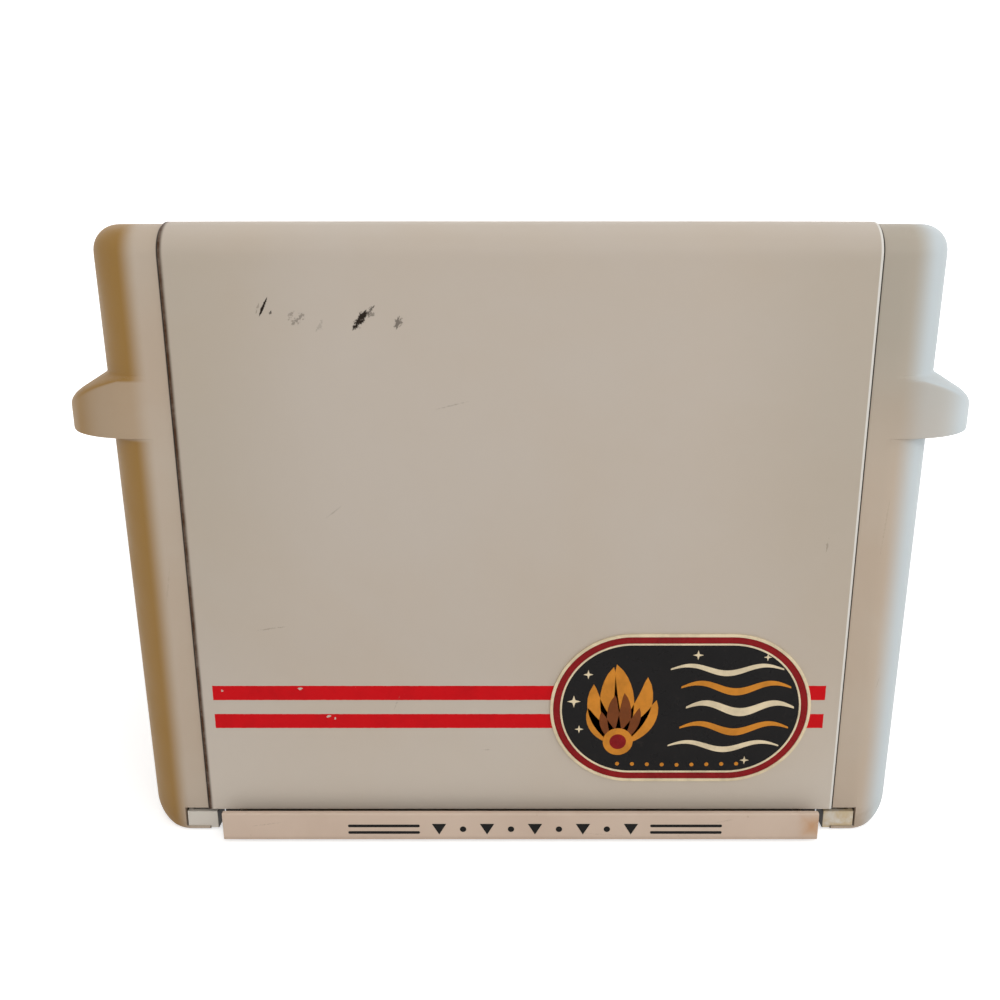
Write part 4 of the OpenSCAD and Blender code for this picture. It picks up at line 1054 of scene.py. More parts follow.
@dataclass
class EndCap:
    """Moulded end cap with its grip rib, lofted by height; the right one carries the controls."""

    side: Side
    end: float = 142.0
    half_depth: float = 88.2
    top: float = 218.2
    foot: float = 0.5
    corner: float = 20.5
    top_bend: float = 8.0
    base_bend: float = 8.0
    draft: float = math.radians(0.75)
    roof_bend: float = 10.2
    toe: float = 0.5
    seam: float = 114.9
    wall: float = 2.6
    reach: float = 159.5
    rib_corner: float = 32.0
    rib_low: float = 149.1
    under: Flat = (9.0, 4.0)
    spare: float = 6.0
    crease: float = 169.5
    slope: float = math.radians(32)
    crest_soft: float = 6.0
    fillet: float = 0.9
    gap_half: float = 34.0
    front_steps: int = 5
    arc_steps: int = 40
    end_steps: int = 10
    notch_x: Flat = (113.9, 123.9)
    notch_y: float = -80.2
    notch_top: float = 9.5
    sill: Flat = (-87.8, 1.6)
    tongue_x: Flat = (109.5, 115.4)
    tongue_low: float = 24.0
    tongue_skin: Flat = (1.0, 3.2)
    base_holes: tuple[tuple[float, ...], ...] = (
        (121.9, 42.0, 3.8, 2.0), (121.9, 42.0, 1.8, 4.0), (121.1, 66.0, 5.8, 1.5), (121.1, 66.0, 2.55, 4.0))
    pad: tuple[Flat, Flat] = ((-31.0, 23.0), (31.0, 175.0))
    pad_x: Flat = (137.5, 141.96)
    pad_corner: float = 9.0
    seat: tuple[Point, Point] = ((134.9, -30.0, 24.0), (137.5, 30.0, 174.0))
    lever_slot: tuple[Point, Point] = ((132.0, -3.0, 69.5), (144.0, 3.0, 155.5))
    control_holes: tuple[Point, ...] = ((-9.0, 44.0, 3.1), (20.0, 44.0, 5.6))
    through_x: Flat = (132.0, 144.0)
    posts: tuple[Flat, ...] = ((-27.0, 31.0), (-27.0, 62.0), (27.0, 31.0), (27.0, 62.0))
    post_x: Flat = (120.2, 138.0)
    post_r: float = 3.0
    before: float = -95.0
    below: float = -1.0
    edge_round: float = 0.35

    def _reach_at(self, z: float, inset: float) -> float:
        """Reach of the end face at a height."""
        top_x, top_z = self.end - self.top_bend, self.top - self.top_bend
        low_z = self.foot + self.base_bend
        turn = self.top_bend - self.base_bend - (top_z - low_z) * math.sin(self.draft)
        low_x = top_x + turn / math.cos(self.draft)
        high_r, low_r = self.top_bend - inset, self.base_bend - inset
        if z >= top_z:
            return top_x + math.sqrt(max(high_r ** 2 - (z - top_z) ** 2, 0.0))
        if z <= low_z:
            return low_x + math.sqrt(max(low_r ** 2 - (low_z - z) ** 2, 0.0))
        share = (z - low_z) / (top_z - low_z)
        return (low_x + low_r) * (1 - share) + (top_x + high_r) * share

    def _depth_at(self, z: float, inset: float) -> float:
        """Half depth at a height."""
        roof_z, toe_z = self.top - self.roof_bend, self.foot + self.toe
        roof_r, toe_r = self.roof_bend - inset, max(self.toe - inset, 0.4)
        if z >= roof_z:
            return self.half_depth - self.roof_bend + math.sqrt(max(roof_r ** 2 - (z - roof_z) ** 2, 0.0))
        if z <= toe_z:
            rise = min(toe_z - z, toe_r)
            return self.half_depth - inset - toe_r + math.sqrt(max(toe_r ** 2 - rise ** 2, 0.0))
        return self.half_depth - inset

    def _rib_front(self, z: float, inset: float) -> float:
        """Reach of the rib's rounded underside and sloping top at a height, 0 where it has none."""
        rise = (z - self.rib_low - inset) / self.under[1]
        if rise < 0:
            return 0.0
        bend = self.under[0] * (1 - math.sqrt(1 - (1 - min(rise, 1.0)) ** 2))
        top_x = self.end + (self.crease - z) / math.tan(self.slope) - inset / math.sin(self.slope)
        return min(self.reach - inset + self.spare - bend, top_x)

    def _rib_gap(self, x: float, y: float, inset: float) -> float:
        """Distance from a point to the rib's rounded plan, above 0 outside."""
        radius = self.rib_corner - inset
        qx = abs(x) - (self.reach - inset) + radius
        qy = abs(y) - (self.half_depth - inset) + radius
        out = math.hypot(max(qx, 0.0), max(qy, 0.0))
        return out + min(max(qx, qy), 0.0) - radius

    def _push(self, x: float, y: float, nx: float, ny: float, z: float, inset: float) -> float:
        """How far the rib pushes a point of the cap outwards along its normal.

        Args:
            x: Place of the point along X.
            y: Place of the point along Y.
            nx: X part of its normal.
            ny: Y part of its normal.
            z: Height of the point.
            inset: How far the wall lies inside the outer skin.

        Returns:
            Way to the rib's plan or the reach of its outline, whichever is less, with a soft crest.
        """
        front = self._rib_front(z, inset)
        if nx < 1e-4 or (self.side is Side.RIGHT and abs(y) < self.gap_half):
            return 0.0
        plan = 0.0
        for _ in range(16):
            plan -= self._rib_gap(x + nx * plan, y + ny * plan, inset)
        if plan <= 0.0 or front <= 0.0:
            return 0.0
        cut = front - self._reach_at(z, inset)
        soft = min(self.crest_soft, plan * 0.35)
        crest = max(soft - abs(plan - cut), 0.0)
        travel = min(plan, cut) - crest * crest / (4 * soft)
        round_in = min(self.fillet, plan / 2) if z > self.crease - 10 else 0.02
        blend = max(round_in - abs(travel), 0.0)
        return max(travel, 0.0) + blend * blend / (4 * round_in)

    def _levels(self) -> list[float]:
        """Heights of the loft's contours, close together where the shape bends."""
        foot = [self.foot + self.base_bend * (1 - math.cos(math.radians(a))) for a in range(0, 91, 6)]
        plain = [20, 44, 68, 92, 116, 136, 145, self.rib_low - 0.06]
        under = [self.rib_low + self.under[1] * (1 - math.cos(math.radians(a))) for a in range(0, 91, 9)]
        slope = [self.crease + 0.5 * k for k in range(-30, 4)]
        plain_top = [174, 184, 194, 202]
        roof_z = self.top - self.roof_bend
        roof = [roof_z + self.roof_bend * math.sin(math.radians(a)) for a in range(0, 91, 6)]
        return foot + plain + under + slope + plain_top + roof

    def _contour(self, z: float, inset: float, ribbed: bool) -> list[Point]:
        """Contour at a height from the front seam round the end to the rear seam."""
        reach, depth = self._reach_at(z, inset), self._depth_at(z, inset)
        sunk = self.end - inset - reach
        radius = max(self.corner - inset - max(sunk, 0.0), 2.0)
        radius = min(radius, reach - self.seam - 0.6)
        cx, cy = reach - radius, depth - radius
        half = [(self.seam + (cx - self.seam) * k / self.front_steps, -depth, 0.0, -1.0)
                for k in range(self.front_steps)]
        for k in range(self.arc_steps + 1):
            turn = math.radians(-90 + 90 * k / self.arc_steps)
            nx, ny = math.cos(turn), math.sin(turn)
            half.append((cx + radius * nx, -cy + radius * ny, nx, ny))
        stop = self.gap_half if self.side is Side.RIGHT else 0.0
        for k in range(1, self.end_steps):
            half.append((reach, -cy + (cy - stop - 0.02) * k / self.end_steps, 1.0, 0.0))
        if stop:
            half += [(reach, -stop - 0.02, 1.0, 0.0), (reach, -stop + 0.02, 1.0, 0.0)]
        half.append((reach, -stop / 2, 1.0, 0.0))
        other = [(x, -y, nx, -ny) for x, y, nx, ny in reversed(half)]
        found = []
        for x, y, nx, ny in half + other:
            push = self._push(x, y, nx, ny, z, inset) if ribbed else 0.0
            found.append((x + nx * push, y + ny * push, z))
        return found

    def _shell(self) -> Part:
        """Hollow shell, open towards the cover."""
        levels = self._levels()
        share = (self.top - self.foot - 2 * self.wall) / (self.top - self.foot)
        outer = [self._contour(z, 0.0, True) for z in levels]
        hollow_rib = self.side is Side.LEFT
        inner = [self._contour(self.foot + self.wall + (z - self.foot) * share, self.wall, hollow_rib)
                 for z in levels]
        rows, columns = len(levels), len(outer[0])
        points = [(self.side.value * x, y, z) for contour in outer + inner for x, y, z in contour]

        def spot(row: int, column: int, inside: int) -> int:
            """Index of a point."""
            return (inside * rows + row) * columns + column

        faces: list[list[int]] = []
        for inside in (0, 1):
            faces += [[spot(i, k, inside), spot(i, k + 1, inside), spot(i + 1, k + 1, inside),
                       spot(i + 1, k, inside)] for i in range(rows - 1) for k in range(columns - 1)]
            faces += [[spot(row, k, inside) for k in range(columns)] for row in (0, rows - 1)]
        faces += [[spot(i, k, 0), spot(i + 1, k, 0), spot(i + 1, k, 1), spot(i, k, 1)]
                  for i in range(rows - 1) for k in (0, columns - 1)]
        faces += [[spot(i, 0, 0), spot(i, columns - 1, 0), spot(i, columns - 1, 1), spot(i, 0, 1)]
                  for i in (0, rows - 1)]
        return Shaper.add(f"{self.side.name.lower()}_cap_shell", points, faces)

    def _tongue(self) -> Part:
        """Band under the cover's edge."""
        over, under = (SheetCover().side(inset) for inset in self.tongue_skin)
        outline = [(y, max(z, self.tongue_low)) for y, z in over + under[::-1]]
        return Shaper.prism("tongue", outline, *sorted(self.side.value * x for x in self.tongue_x), "x")

    def _cutters(self) -> list[Part]:
        """Notch beside the tray, and the holes for screws, feet and controls."""
        s = self.side.value
        near, far = sorted(s * x for x in self.notch_x)
        sill_y, sill_z = self.sill
        cutters = [Shaper.box("notch", (near, self.before, sill_z), (far, self.notch_y, self.notch_top)),
                   Shaper.box("room behind sill", (near, sill_y, self.below),
                              (far, self.notch_y, sill_z + 0.1))]
        cutters += [
            Shaper.prism("base hole", ring_outline((s * x, row * y), radius), self.below, depth, "z")
            for x, y, radius, depth in self.base_holes for row in (-1, 1)]
        if self.side is Side.RIGHT:
            cutters += [Shaper.box("pad seat", *self.seat), Shaper.box("lever slot", *self.lever_slot)]
            cutters += [Shaper.prism("control hole", ring_outline((y, z), radius), *self.through_x, "x")
                        for y, z, radius in self.control_holes]
        return cutters

    def build(self, kit: Assembly) -> None:
        """Makes the cap and hands it over."""
        name = f"{self.side.name.lower()}_end_cap"
        shell = self._shell()
        posts = []
        if self.side is Side.RIGHT:
            pad = Shaper.prism("pad", rounded_outline(*self.pad, self.pad_corner), *self.pad_x, "x")
            Shaper.combine(shell, [pad], "UNION")
            posts = [Shaper.prism("post", ring_outline(post, self.post_r, 24), *self.post_x, "x")
                     for post in self.posts]
        Shaper.combine(shell, self._cutters())
        Shaper.ease(shell, self.edge_round, 2, 48)
        cap = Shaper.join(f"dressed_{name}", [shell, Shaper.ease(self._tongue(), 0.2, 1, 50), *posts])
        Shaper.smooth(cap, 32)
        kit.dress(cap, "cap_plastic", "housing", [name])


@dataclass
class Badge:
    """Raised capsule on the front: rims, a dark field, a fan of flames and waves of steam."""

    centre: Flat = (57.0, 50.5)
    half: Flat = (46.5, 29.0)
    face: float = -89.0
    field_inset: float = 2.2
    field_top: float = 0.42
    rims: tuple[tuple[str, float, float, float, str], ...] = (
        ("badge_outer_keyline", 0.0, 1.1, 0.80, "cream keyline"),
        ("badge_red_ring", 1.15, 3.5, 0.66, "dark red ring"),
        ("badge_inner_keyline", 3.55, 4.25, 0.72, "cream keyline"))
    flame_base: Flat = (-22.0, -12.5)
    flames: tuple[tuple[float, ...], ...] = (
        (28, 21, 11, 22), (52, 27, 12, 16), (80, 30, 13, 12), (106, 29, 12, -12),
        (130, 24, 12, -18), (152, 17, 10, -22))
    embers: tuple[tuple[float, ...], ...] = (
        (46, 15, 7, 14), (74, 19, 8, 10), (104, 18, 8, -10), (132, 13, 7, -14))
    coal_drop: float = 0.4
    coal_r: float = 5.4
    heart_r: float = 3.0
    waves: tuple[tuple[float, ...], ...] = (
        (-4, 36, 15.5, 1.5, 2.2), (0, 39, 8.5, 1.7, 2.8), (2, 40.5, 0.6, 1.8, 3.2),
        (0, 39, -7.4, 1.7, 2.8), (-4, 36, -14.6, 1.5, 2.2))
    wave_steps: int = 32
    sparks: tuple[Point, ...] = (
        (-38, 3, 2.4), (-33, 13.5, 1.8), (-36, -8, 1.6), (5.5, 21, 1.9), (24, -20.5, 1.7),
        (30, 20.2, 1.5))
    spark_waist: float = 0.32
    dot_start: Flat = (-22.0, -22.4)
    dot_step: float = 5.4
    dot_sag: float = 0.12
    dot_r: float = 0.75
    dots: int = 9
    flame_top: float = 0.54
    ember_top: float = 0.62
    coal_top: float = 0.66
    heart_top: float = 0.72
    wave_top: float = 0.56
    small_top: float = 0.58

    def _capsule(self, inset: float) -> list[Flat]:
        """Outline of the capsule, shrunk."""
        x, z = self.centre
        w, h = self.half[0] - inset, self.half[1] - inset
        return rounded_outline((x - w, z - h), (x + w, z + h), h - 0.01, 22)

    def _layer(self, name: str, outline: Sequence[Flat], top: float, ease: float = 0.12,
               hole: Sequence[Flat] | None = None) -> Part:
        """One raised layer, whose face stands at top before the front face."""
        layer = Shaper.prism(name, outline, self.face - top, self.face - 0.01, "y")
        if hole is not None:
            Shaper.combine(layer, [Shaper.prism("inner edge", hole, self.face - 2, self.face + 2, "y")])
        Shaper.ease(layer, ease, 2, 45)
        return Shaper.smooth(layer)

    def _petal(self, origin: Flat, angle: float, length: float, width: float,
               curl: float) -> list[Flat]:
        """Outline of a flame's tongue that leans to one side."""
        left, right = [], []
        for k in range(13):
            t = k / 12
            turn = math.radians(angle + curl * t * t)
            x, z = polar(*origin, length * t, turn)
            half = width * (1 - t) ** 0.75 * (0.42 + 1.1 * t) * 0.5
            nx, nz = -math.sin(turn), math.cos(turn)
            left.append((x + nx * half, z + nz * half))
            right.append((x - nx * half, z - nz * half))
        return left + right[::-1][1:]

    def _wave(self, x0: float, x1: float, z: float, swing: float, width: float) -> list[Flat]:
        """Outline of a tapered wave line."""
        above, below = [], []
        for k in range(self.wave_steps + 1):
            t = k / self.wave_steps
            x = x0 + (x1 - x0) * t
            mid = z + swing * math.sin(2 * math.pi * 1.5 * t)
            half = width * 0.5 * math.sin(math.pi * (0.08 + 0.84 * t))
            above.append((x, mid + half))
            below.append((x, mid - half))
        return above + below[::-1]

    def _star(self, x: float, z: float, radius: float) -> list[Flat]:
        """Outline of a four-pointed spark."""
        return [polar(x, z, radius * (self.spark_waist if k % 2 else 1), math.pi * k / 4)
                for k in range(8)]

    def _shapes(self) -> Iterator[tuple[str, list[Flat], float, str]]:
        """Name, outline, height and ink of every shape on the field."""
        x, z = self.centre
        base = (x + self.flame_base[0], z + self.flame_base[1])
        coal = (base[0], base[1] - self.coal_drop)
        for i, petal in enumerate(self.flames):
            yield f"badge_flame_{i}", self._petal(base, *petal), self.flame_top, "amber flame"
        for i, petal in enumerate(self.embers):
            yield f"badge_ember_{i}", self._petal(base, *petal), self.ember_top, "brown flame"
        yield "badge_coal", ring_outline(coal, self.coal_r), self.coal_top, "amber flame"
        yield "badge_coal_heart", ring_outline(coal, self.heart_r), self.heart_top, "dark red ring"
        for i, (start, end, level, swing, width) in enumerate(self.waves):
            outline = self._wave(x + start, x + end, z + level, swing, width)
            yield f"badge_wave_{i}", outline, self.wave_top, "amber flame" if i % 2 else "cream keyline"
        for i, (right, up, radius) in enumerate(self.sparks):
            outline = self._star(x + right, z + up, radius)
            yield f"badge_spark_{i}", outline, self.small_top, "cream keyline"
        for i in range(self.dots):
            spot = (x + self.dot_start[0] + self.dot_step * i,
                    z + self.dot_start[1] + abs(i - self.dots // 2) * self.dot_sag)
            yield f"badge_dot_{i}", ring_outline(spot, self.dot_r, 20), self.small_top, "amber flame"

    def build(self, kit: Assembly) -> None:
        """Makes the badge's layers and hands them over."""
        plate = self._layer("badge_field", self._capsule(self.field_inset), self.field_top)
        kit.dress(plate, "black field", "housing", ["badge_plate"])
        for name, outer, inner, top, ink in self.rims:
            ring = self._layer(name, self._capsule(outer), top, 0.16, self._capsule(inner))
            kit.dress(ring, ink, "housing")
        for name, outline, top, ink in self._shapes():
            kit.dress(self._layer(name, outline, top, 0.1), ink, "housing")


@dataclass
class CrumbTray:
    """Front lip of the crumb tray, with a plain row of printed bars and triangles."""

    half: float = 108.0
    front: float = -95.5
    rear: float = -93.5
    low: float = 1.2
    high: float = 12.0
    round_r: float = 0.8
    print_x: Flat = (-62.5, 73.0)
    print_z: float = 5.6
    print_half: float = 2.2
    print_skin: float = 0.04
    bar: Flat = (26.0, 0.55)
    shapes: int = 9
    shapes_in: float = 33.0

    def _lip(self) -> Part:
        """Thin plate with a slightly rounded top edge."""
        front = self.front + self.print_skin
        bent = [polar(front + self.round_r, self.high - self.round_r, self.round_r,
                      math.radians(90 + 15 * k)) for k in range(7)]
        outline = [(self.rear, self.low), (self.rear, self.high), *bent, (front, self.low)]
        lip = Shaper.prism("dressed_tray_lip", outline, -self.half, self.half, "x")
        Shaper.ease(lip, 0.4, 2, 50)
        return Shaper.smooth(lip)

    def _marks(self) -> list[list[Flat]]:
        """Outlines of the printed row: a pair of bars, triangles and dots, and a pair of bars."""
        (first, last), (long, thick), z, h = self.print_x, self.bar, self.print_z, self.print_half
        marks = [rounded_outline((start, level - thick), (start + long, level + thick), 0.5, 4)
                 for start in (first, last - long) for level in (z - h * 0.62, z + h * 0.62)]
        first, last = first + self.shapes_in, last - self.shapes_in
        for i in range(self.shapes):
            x = first + (last - first) * i / (self.shapes - 1)
            triangle = [(x - 2.6, z + h), (x + 2.6, z + h), (x, z - h)]
            marks.append(ring_outline((x, z), 1.15, 24) if i % 2 else triangle)
        return marks

    def build(self, kit: Assembly) -> None:
        """Makes the lip and its print and hands them over."""
        kit.dress(self._lip(), "lip_paint", "tray", ["tray_lip"])
        marks = [Shaper.prism("mark", outline, self.front, self.front + 0.3, "y")
                 for outline in self._marks()]
        kit.dress(Shaper.join("tray_lip_print", marks), "black print", "tray")


@dataclass
class Controls:
    """Lever knob, ribbed dial, cancel button and the numbers of the panel at the right end."""

    panel_face: float = 143.2
    knob_low: Point = (144.2, -12.0, 141.0)
    knob_high: Point = (157.7, 12.0, 159.0)
    knob_round: float = 3.9
    ridges: int = 5
    ridge_step: float = 2.0
    ridge_half: float = 8.5
    tongue_room: tuple[Point, Point] = ((143.2, -1.55, 145.95), (151.25, 1.55, 154.05))
    dial: Flat = (-9.0, 44.0)
    dial_x: float = 144.0
    dial_profile: tuple[Flat, ...] = (
        (0.0, 0.0), (0.0, 14.6), (0.3, 14.9), (2.7, 14.9), (3.1, 14.6), (3.6, 13.4),
        (8.6, 12.3), (9.6, 11.6), (10.0, 10.6), (10.0, 0.0))
    dial_ribs: int = 36
    rib_depth: float = 0.42
    ribbed: Flat = (3.4, 9.2)
    bar_half: Flat = (10.6, 3.0)
    bar_end: float = 156.2
    button: Flat = (20.0, 44.0)
    stem_r: float = 2.0
    flange: Flat = (136.2, 137.2)
    flange_r: float = 7.0
    button_dish: tuple[Flat, ...] = (
        (0.9, 5.5), (0.3, 5.25), (0.0, 4.7), (0.0, 4.2), (0.25, 3.0), (0.45, 1.4), (0.5, 0.0))
    pointer: tuple[Flat, Flat] = ((-0.6, 3.5), (0.6, 10.2))
    pointer_x: Flat = (153.97, 154.03)
    print_skin: Flat = (-0.02, 0.03)
    number_count: int = 6
    number_r: Flat = (21.0, 18.6)
    number_size: float = 4.6
    tick: Flat = (16.0, 17.6)
    signs: tuple[tuple[Flat, ...], ...] = (
        ((24.0, 29.0), (16.0, 29.0), (20.0, 25.8)),
        tuple(rounded_outline((-1.4, 160.5), (1.4, 166.0), 0.6, 4)),
        ((-4.0, 163.4), (4.0, 163.4), (0.0, 168.4)))

    def _lever_knob(self) -> Part:
        """Rounded knob with grip ridges above and below."""
        low, high = self.knob_low, self.knob_high
        knob = Shaper.ease(Shaper.box("dressed_lever_knob", low, high), self.knob_round, 6, 30)
        rings = [ring_outline((low[0] + 3.2 + self.ridge_step * k, z), 0.7, 16)
                 for z in (high[2] + 0.25, low[2] - 0.25) for k in range(self.ridges)]
        cutters = [Shaper.prism("ridge", ring, -self.ridge_half, self.ridge_half, "y") for ring in rings]
        Shaper.combine(knob, [*cutters, Shaper.box("tongue room", *self.tongue_room)])
        return Shaper.smooth(knob, 38)

    def _dial(self) -> Part:
        """Dial with a ribbed skirt and a finger bar."""
        low, high = self.ribbed

        def ribs(height: float, turn: float) -> float:
            """Change of the radius that makes the ribs."""
            return self.rib_depth * (math.cos(turn * self.dial_ribs) - 1) if low < height < high else 0.0

        body = Shaper.turned("dial body", self.dial_profile, self.dial, self.dial_x, 288, ribs)
        (y, z), (wide, thick) = self.dial, self.bar_half
        bar = Shaper.box("finger bar", (self.dial_x + 3, y - wide, z - thick),
                         (self.bar_end, y + wide, z + thick))
        Shaper.ease(bar, 1.1, 3, 30)
        return Shaper.smooth(Shaper.join("dressed_dial_knob", [body, bar]), 38)

    def _button(self) -> Part:
        """Cancel button with a shallow dish, its flange and its stem."""
        low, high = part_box("cancel_button")
        stem, front = low[0] / MM, high[0] / MM
        rear, face = self.flange
        profile = [(stem, 0.0), (stem, self.stem_r), (rear, self.stem_r), (rear, self.flange_r),
                   (face, self.flange_r), (face, self.button_dish[0][1])]
        profile += [(front - depth, radius) for depth, radius in self.button_dish]
        return Shaper.smooth(Shaper.turned("dressed_cancel_button", profile, self.button, 0.0, 48), 38)

    def _number(self, digit: str, at: Flat) -> Part:
        """Printed number on the panel."""
        curve = bpy.data.curves.new(f"number {digit}", "FONT")
        curve.body, curve.size = digit, self.number_size * MM
        curve.align_x, curve.align_y, curve.extrude = "CENTER", "CENTER", 0.02 * MM
        letters = placed(f"number {digit}", curve)
        mesh = baked(letters)
        bpy.data.objects.remove(letters)
        mesh.transform(Matrix(((0, 0, 1, (self.panel_face + 0.01) * MM), (1, 0, 0, at[0] * MM),
                               (0, 1, 0, at[1] * MM), (0, 0, 0, 1))))
        return placed(f"number {digit}", mesh)

    def _plate(self, name: str, outline: Sequence[Flat]) -> Part:
        """Thin printed shape on the panel."""
        low, high = (self.panel_face + skin for skin in self.print_skin)
        return Shaper.prism(name, outline, low, high, "x")

    def _print(self) -> Part:
        """Numbers round the dial, tick marks and the signs."""
        (y, z), (near, far) = self.dial, self.tick
        plates: list[Part] = []
        for i in range(self.number_count):
            turn = math.radians(225 - 270 * i / (self.number_count - 1))
            at = (y + self.number_r[0] * math.cos(turn), z + self.number_r[1] * math.sin(turn))
            plates.append(self._number(str(i + 1), at))
            tick = [polar(y, z, r, turn + w) for r, w in ((near, -0.02), (far, -0.02), (far, 0.02),
                                                          (near, 0.02))]
            plates.append(self._plate("tick", tick))
        plates += [self._plate("sign", outline) for outline in self.signs]
        return Shaper.join("control_panel_print", plates)

    def _pointer(self) -> Part:
        """Printed line on the dial's face."""
        low, high = ((self.dial[0] + y, self.dial[1] + z) for y, z in self.pointer)
        return Shaper.prism("dial_pointer", rounded_outline(low, high, 0.5, 4), *self.pointer_x, "x")

    def build(self, kit: Assembly) -> None:
        """Makes the controls and hands them over."""
        kit.dress(self._lever_knob(), "black_plastic", "lift", ["lever_knob"])
        kit.dress(self._dial(), "black_plastic", "dial", ["dial_knob"])
        kit.dress(self._button(), "red_plastic", "button", ["cancel_button"])
        kit.dress(self._pointer(), "panel_marks", "dial")
        kit.dress(self._print(), "panel_marks", "housing")


@dataclass
class PackedPieces:
    """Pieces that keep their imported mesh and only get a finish."""

    finishes: dict[str, tuple[str, ...]] = field(default_factory=lambda: {
        "base_plastic": ("base_frame",),
        "galvanised": ("left_chassis_plate", "right_chassis_plate", "chassis_floor", "lift_bracket"),
        "bright_sheet": ("front_reflector", "rear_reflector", "top_guide_plate"),
        "mica": ("front_outer_card", "front_inner_card", "rear_inner_card", "rear_outer_card"),
        "heating_alloy": ("front_outer_ribbon", "front_inner_ribbon", "rear_inner_ribbon",
                          "rear_outer_ribbon"),
        "wire_steel": ("front_guard_wires", "rear_guard_wires", "guide_rod", "front_bun_rack",
                       "rear_bun_rack", "hot_dog_rack", "left_basket", "right_basket",
                       "dial_shaft", "cap_screws", "chassis_screws", "board_screws"),
        "spring_steel": ("lift_spring", "button_spring"),
        "switch_plastic": ("power_switch", "timer_unit", "cancel_switch"),
        "copper_coil": ("holding_magnet",),
        "iron": ("magnet_keeper",),
        "porcelain": ("terminal_block",),
        "board": ("control_board",),
        "panel_print": ("control_panel",),
        "tray_steel": ("crumb_tray",),
        "foot_rubber": ("rubber_feet", "cord_grommet")})

    def build(self, kit: Assembly) -> None:
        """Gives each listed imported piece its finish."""
        for finish, names in self.finishes.items():
            for name in names:
                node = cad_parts[name]
                node.data.materials.clear()
                node.data.materials.append(kit.finishes[finish])
                LOG.info("%s is dressed in %s", name, finish)


# ---------------------------------------------------------------- studio


@dataclass(frozen=True)
class Lamp:
    """Rectangular soft lamp that faces a point."""

    name: str
    place: Point
    aim: Point
    size: Flat
    power: float
    tint: Colour

    def build(self) -> None:
        """Hangs the lamp."""
        light = bpy.data.lights.new(self.name, "AREA")
        light.shape, light.size, light.size_y = "RECTANGLE", *self.size
        light.energy, light.color = self.power, self.tint
        lamp = placed(self.name, light)
        lamp.location = self.place
        aim = Vector(self.aim) - Vector(self.place)
        lamp.rotation_euler = aim.to_track_quat("-Z", "Y").to_euler()


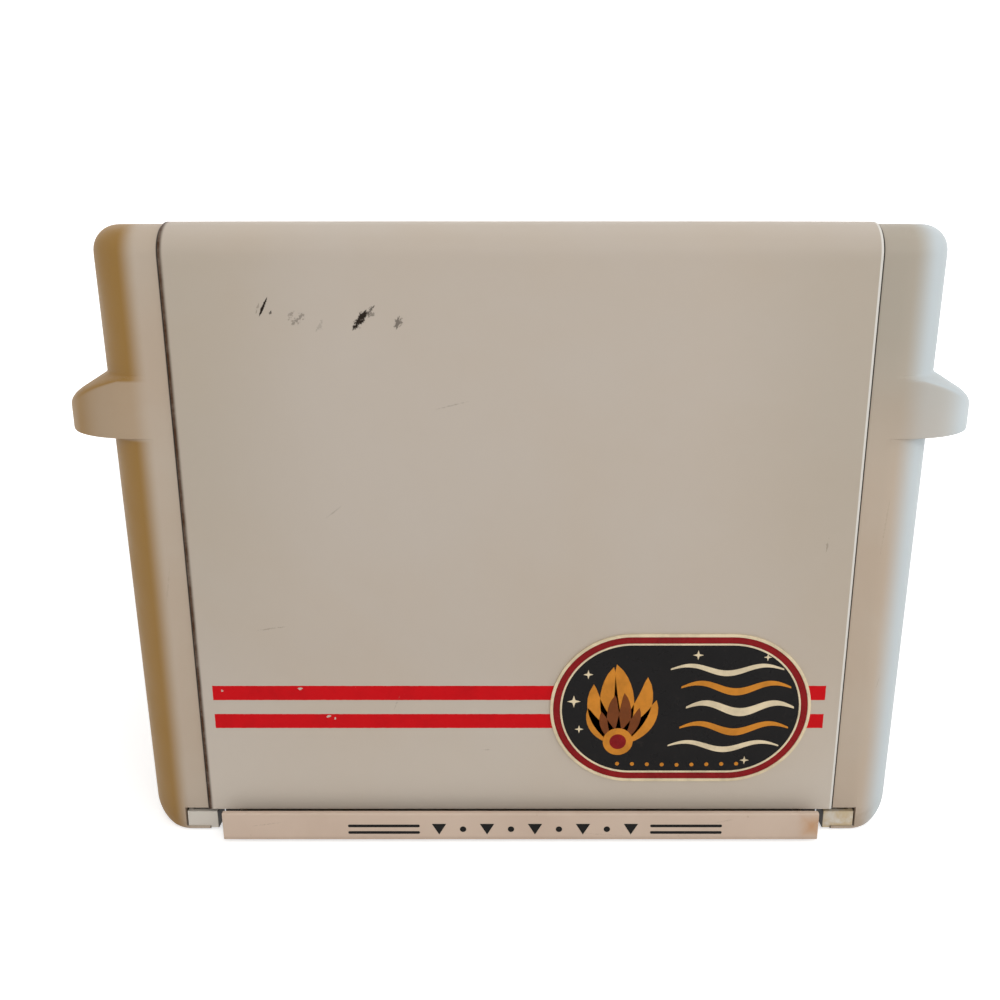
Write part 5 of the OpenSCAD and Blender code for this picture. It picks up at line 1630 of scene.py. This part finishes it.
@dataclass
class Studio:
    """White table and backdrop, soft lamps and the camera of the picture; sizes in metres."""

    floor: Colour = srgb(232, 232, 232)
    glow: float = 0.55
    glow_from: Flat = (0.15, 0.8)
    ambient: float = 0.42
    half_width: float = 3.2
    front: float = -2.6
    bend_y: float = 1.4
    bend_r: float = 0.8
    wall_top: float = 3.2
    camera_y: float = -0.390
    camera_z: float = 0.2193
    pitch: float = 14.5
    lens: float = 33.62
    sensor: float = 36.0
    clip: float = 0.01
    shift: Flat = (-0.0205, -0.038)
    lamps: tuple[Lamp, ...] = (
        Lamp("front softbox", (0.35, -1.5, 1.0), (0, 0, 0.1), (1.6, 1.2), 12.5, (1.0, 0.99, 0.98)),
        Lamp("right window", (1.5, -0.3, 0.7), (0.1, 0, 0.12), (1.0, 1.0), 6.8, (0.93, 0.98, 1.0)),
        Lamp("left fill", (-1.4, -0.7, 0.8), (-0.1, 0, 0.1), (0.9, 0.9), 0.8, (1.0, 0.92, 0.8)),
        Lamp("overhead", (0.0, 0.2, 1.6), (0, 0, 0.1), (1.4, 1.4), 6.5, (1.0, 1.0, 1.0)))

    @staticmethod
    def _seen(graph: Graph) -> Socket:
        """1 for rays of the camera and for those that mirrors and clear pieces send on."""
        rays = graph.add("ShaderNodeLightPath").outputs
        return graph.most(rays["Is Camera Ray"], rays["Is Glossy Ray"], rays["Is Transmission Ray"])

    def _table(self) -> Part:
        """Sheet that runs back and curves up into a wall."""
        profile = [(self.front, 0.0), (self.bend_y, 0.0)]
        profile += [polar(self.bend_y, self.bend_r, self.bend_r, math.radians(a - 90))
                    for a in range(10, 91, 10)]
        profile.append((self.bend_y + self.bend_r, self.wall_top))
        points = [(x, y, z) for y, z in profile for x in (-self.half_width, self.half_width)]
        faces = [(2 * i, 2 * i + 1, 2 * i + 3, 2 * i + 2) for i in range(len(profile) - 1)]
        mesh = bpy.data.meshes.new("table")
        mesh.from_pydata(points, [], faces)
        mesh.shade_smooth()
        return placed("table_and_backdrop", mesh)

    def _backdrop(self) -> None:
        """Table that looks white and keeps a soft shadow near the piece."""
        table = self._table()
        surface = Surface("white table", 0.8)
        surface.send("Base Color", self.floor)
        surface.number("Specular IOR Level", 0.0)
        surface.send("Emission Color", (1.0, 1.0, 1.0))
        x, y, _ = surface.split(surface.spot)
        away = surface.plus(surface.times(x, x), surface.times(y, y))
        glow = surface.ramp(away, *self.glow_from, start=self.glow, end=1.0)
        surface.send("Emission Strength", surface.times(self._seen(surface), glow))
        table.data.materials.append(surface.material)

    def _world(self) -> None:
        """Even pale surroundings that look white."""
        world = bpy.data.worlds.new("pale room")
        world.use_nodes = True
        graph = Graph(world.node_tree)
        strength = graph.ramp(self._seen(graph), 0.0, 1.0, False, self.ambient, 1.0)
        graph.fill(world.node_tree.nodes["Background"], {"Color": (1.0, 1.0, 1.0), "Strength": strength})
        bpy.context.scene.world = world

    def _camera(self) -> None:
        """Camera close before the front, at the height of the top edge."""
        data = bpy.data.cameras.new("camera")
        data.lens, data.sensor_width = self.lens, self.sensor
        data.shift_x, data.shift_y = self.shift
        data.clip_start = self.clip
        camera = placed("camera", data)
        camera.location = (0.0, self.camera_y, self.camera_z)
        camera.rotation_euler = (math.radians(90 - self.pitch), 0.0, 0.0)
        bpy.context.scene.camera = camera

    def build(self) -> None:
        """Sets up the table, the lamps, the surroundings and the camera."""
        bpy.context.scene.view_settings.view_transform = "Standard"
        self._backdrop()
        for lamp in self.lamps:
            lamp.build()
        self._world()
        self._camera()


def main() -> None:
    """Builds every sub-assembly and the studio."""
    logging.basicConfig(level=logging.INFO, format="%(name)s: %(message)s")
    kit = Assembly(all_finishes())
    steps = (PackedPieces(), SheetCover(), EndCap(Side.LEFT), EndCap(Side.RIGHT), Badge(),
             CrumbTray(), Controls())
    for step in steps:
        step.build(kit)
        LOG.info("%s done", type(step).__name__)
    Studio().build()


if __name__ == "__main__":
    main()
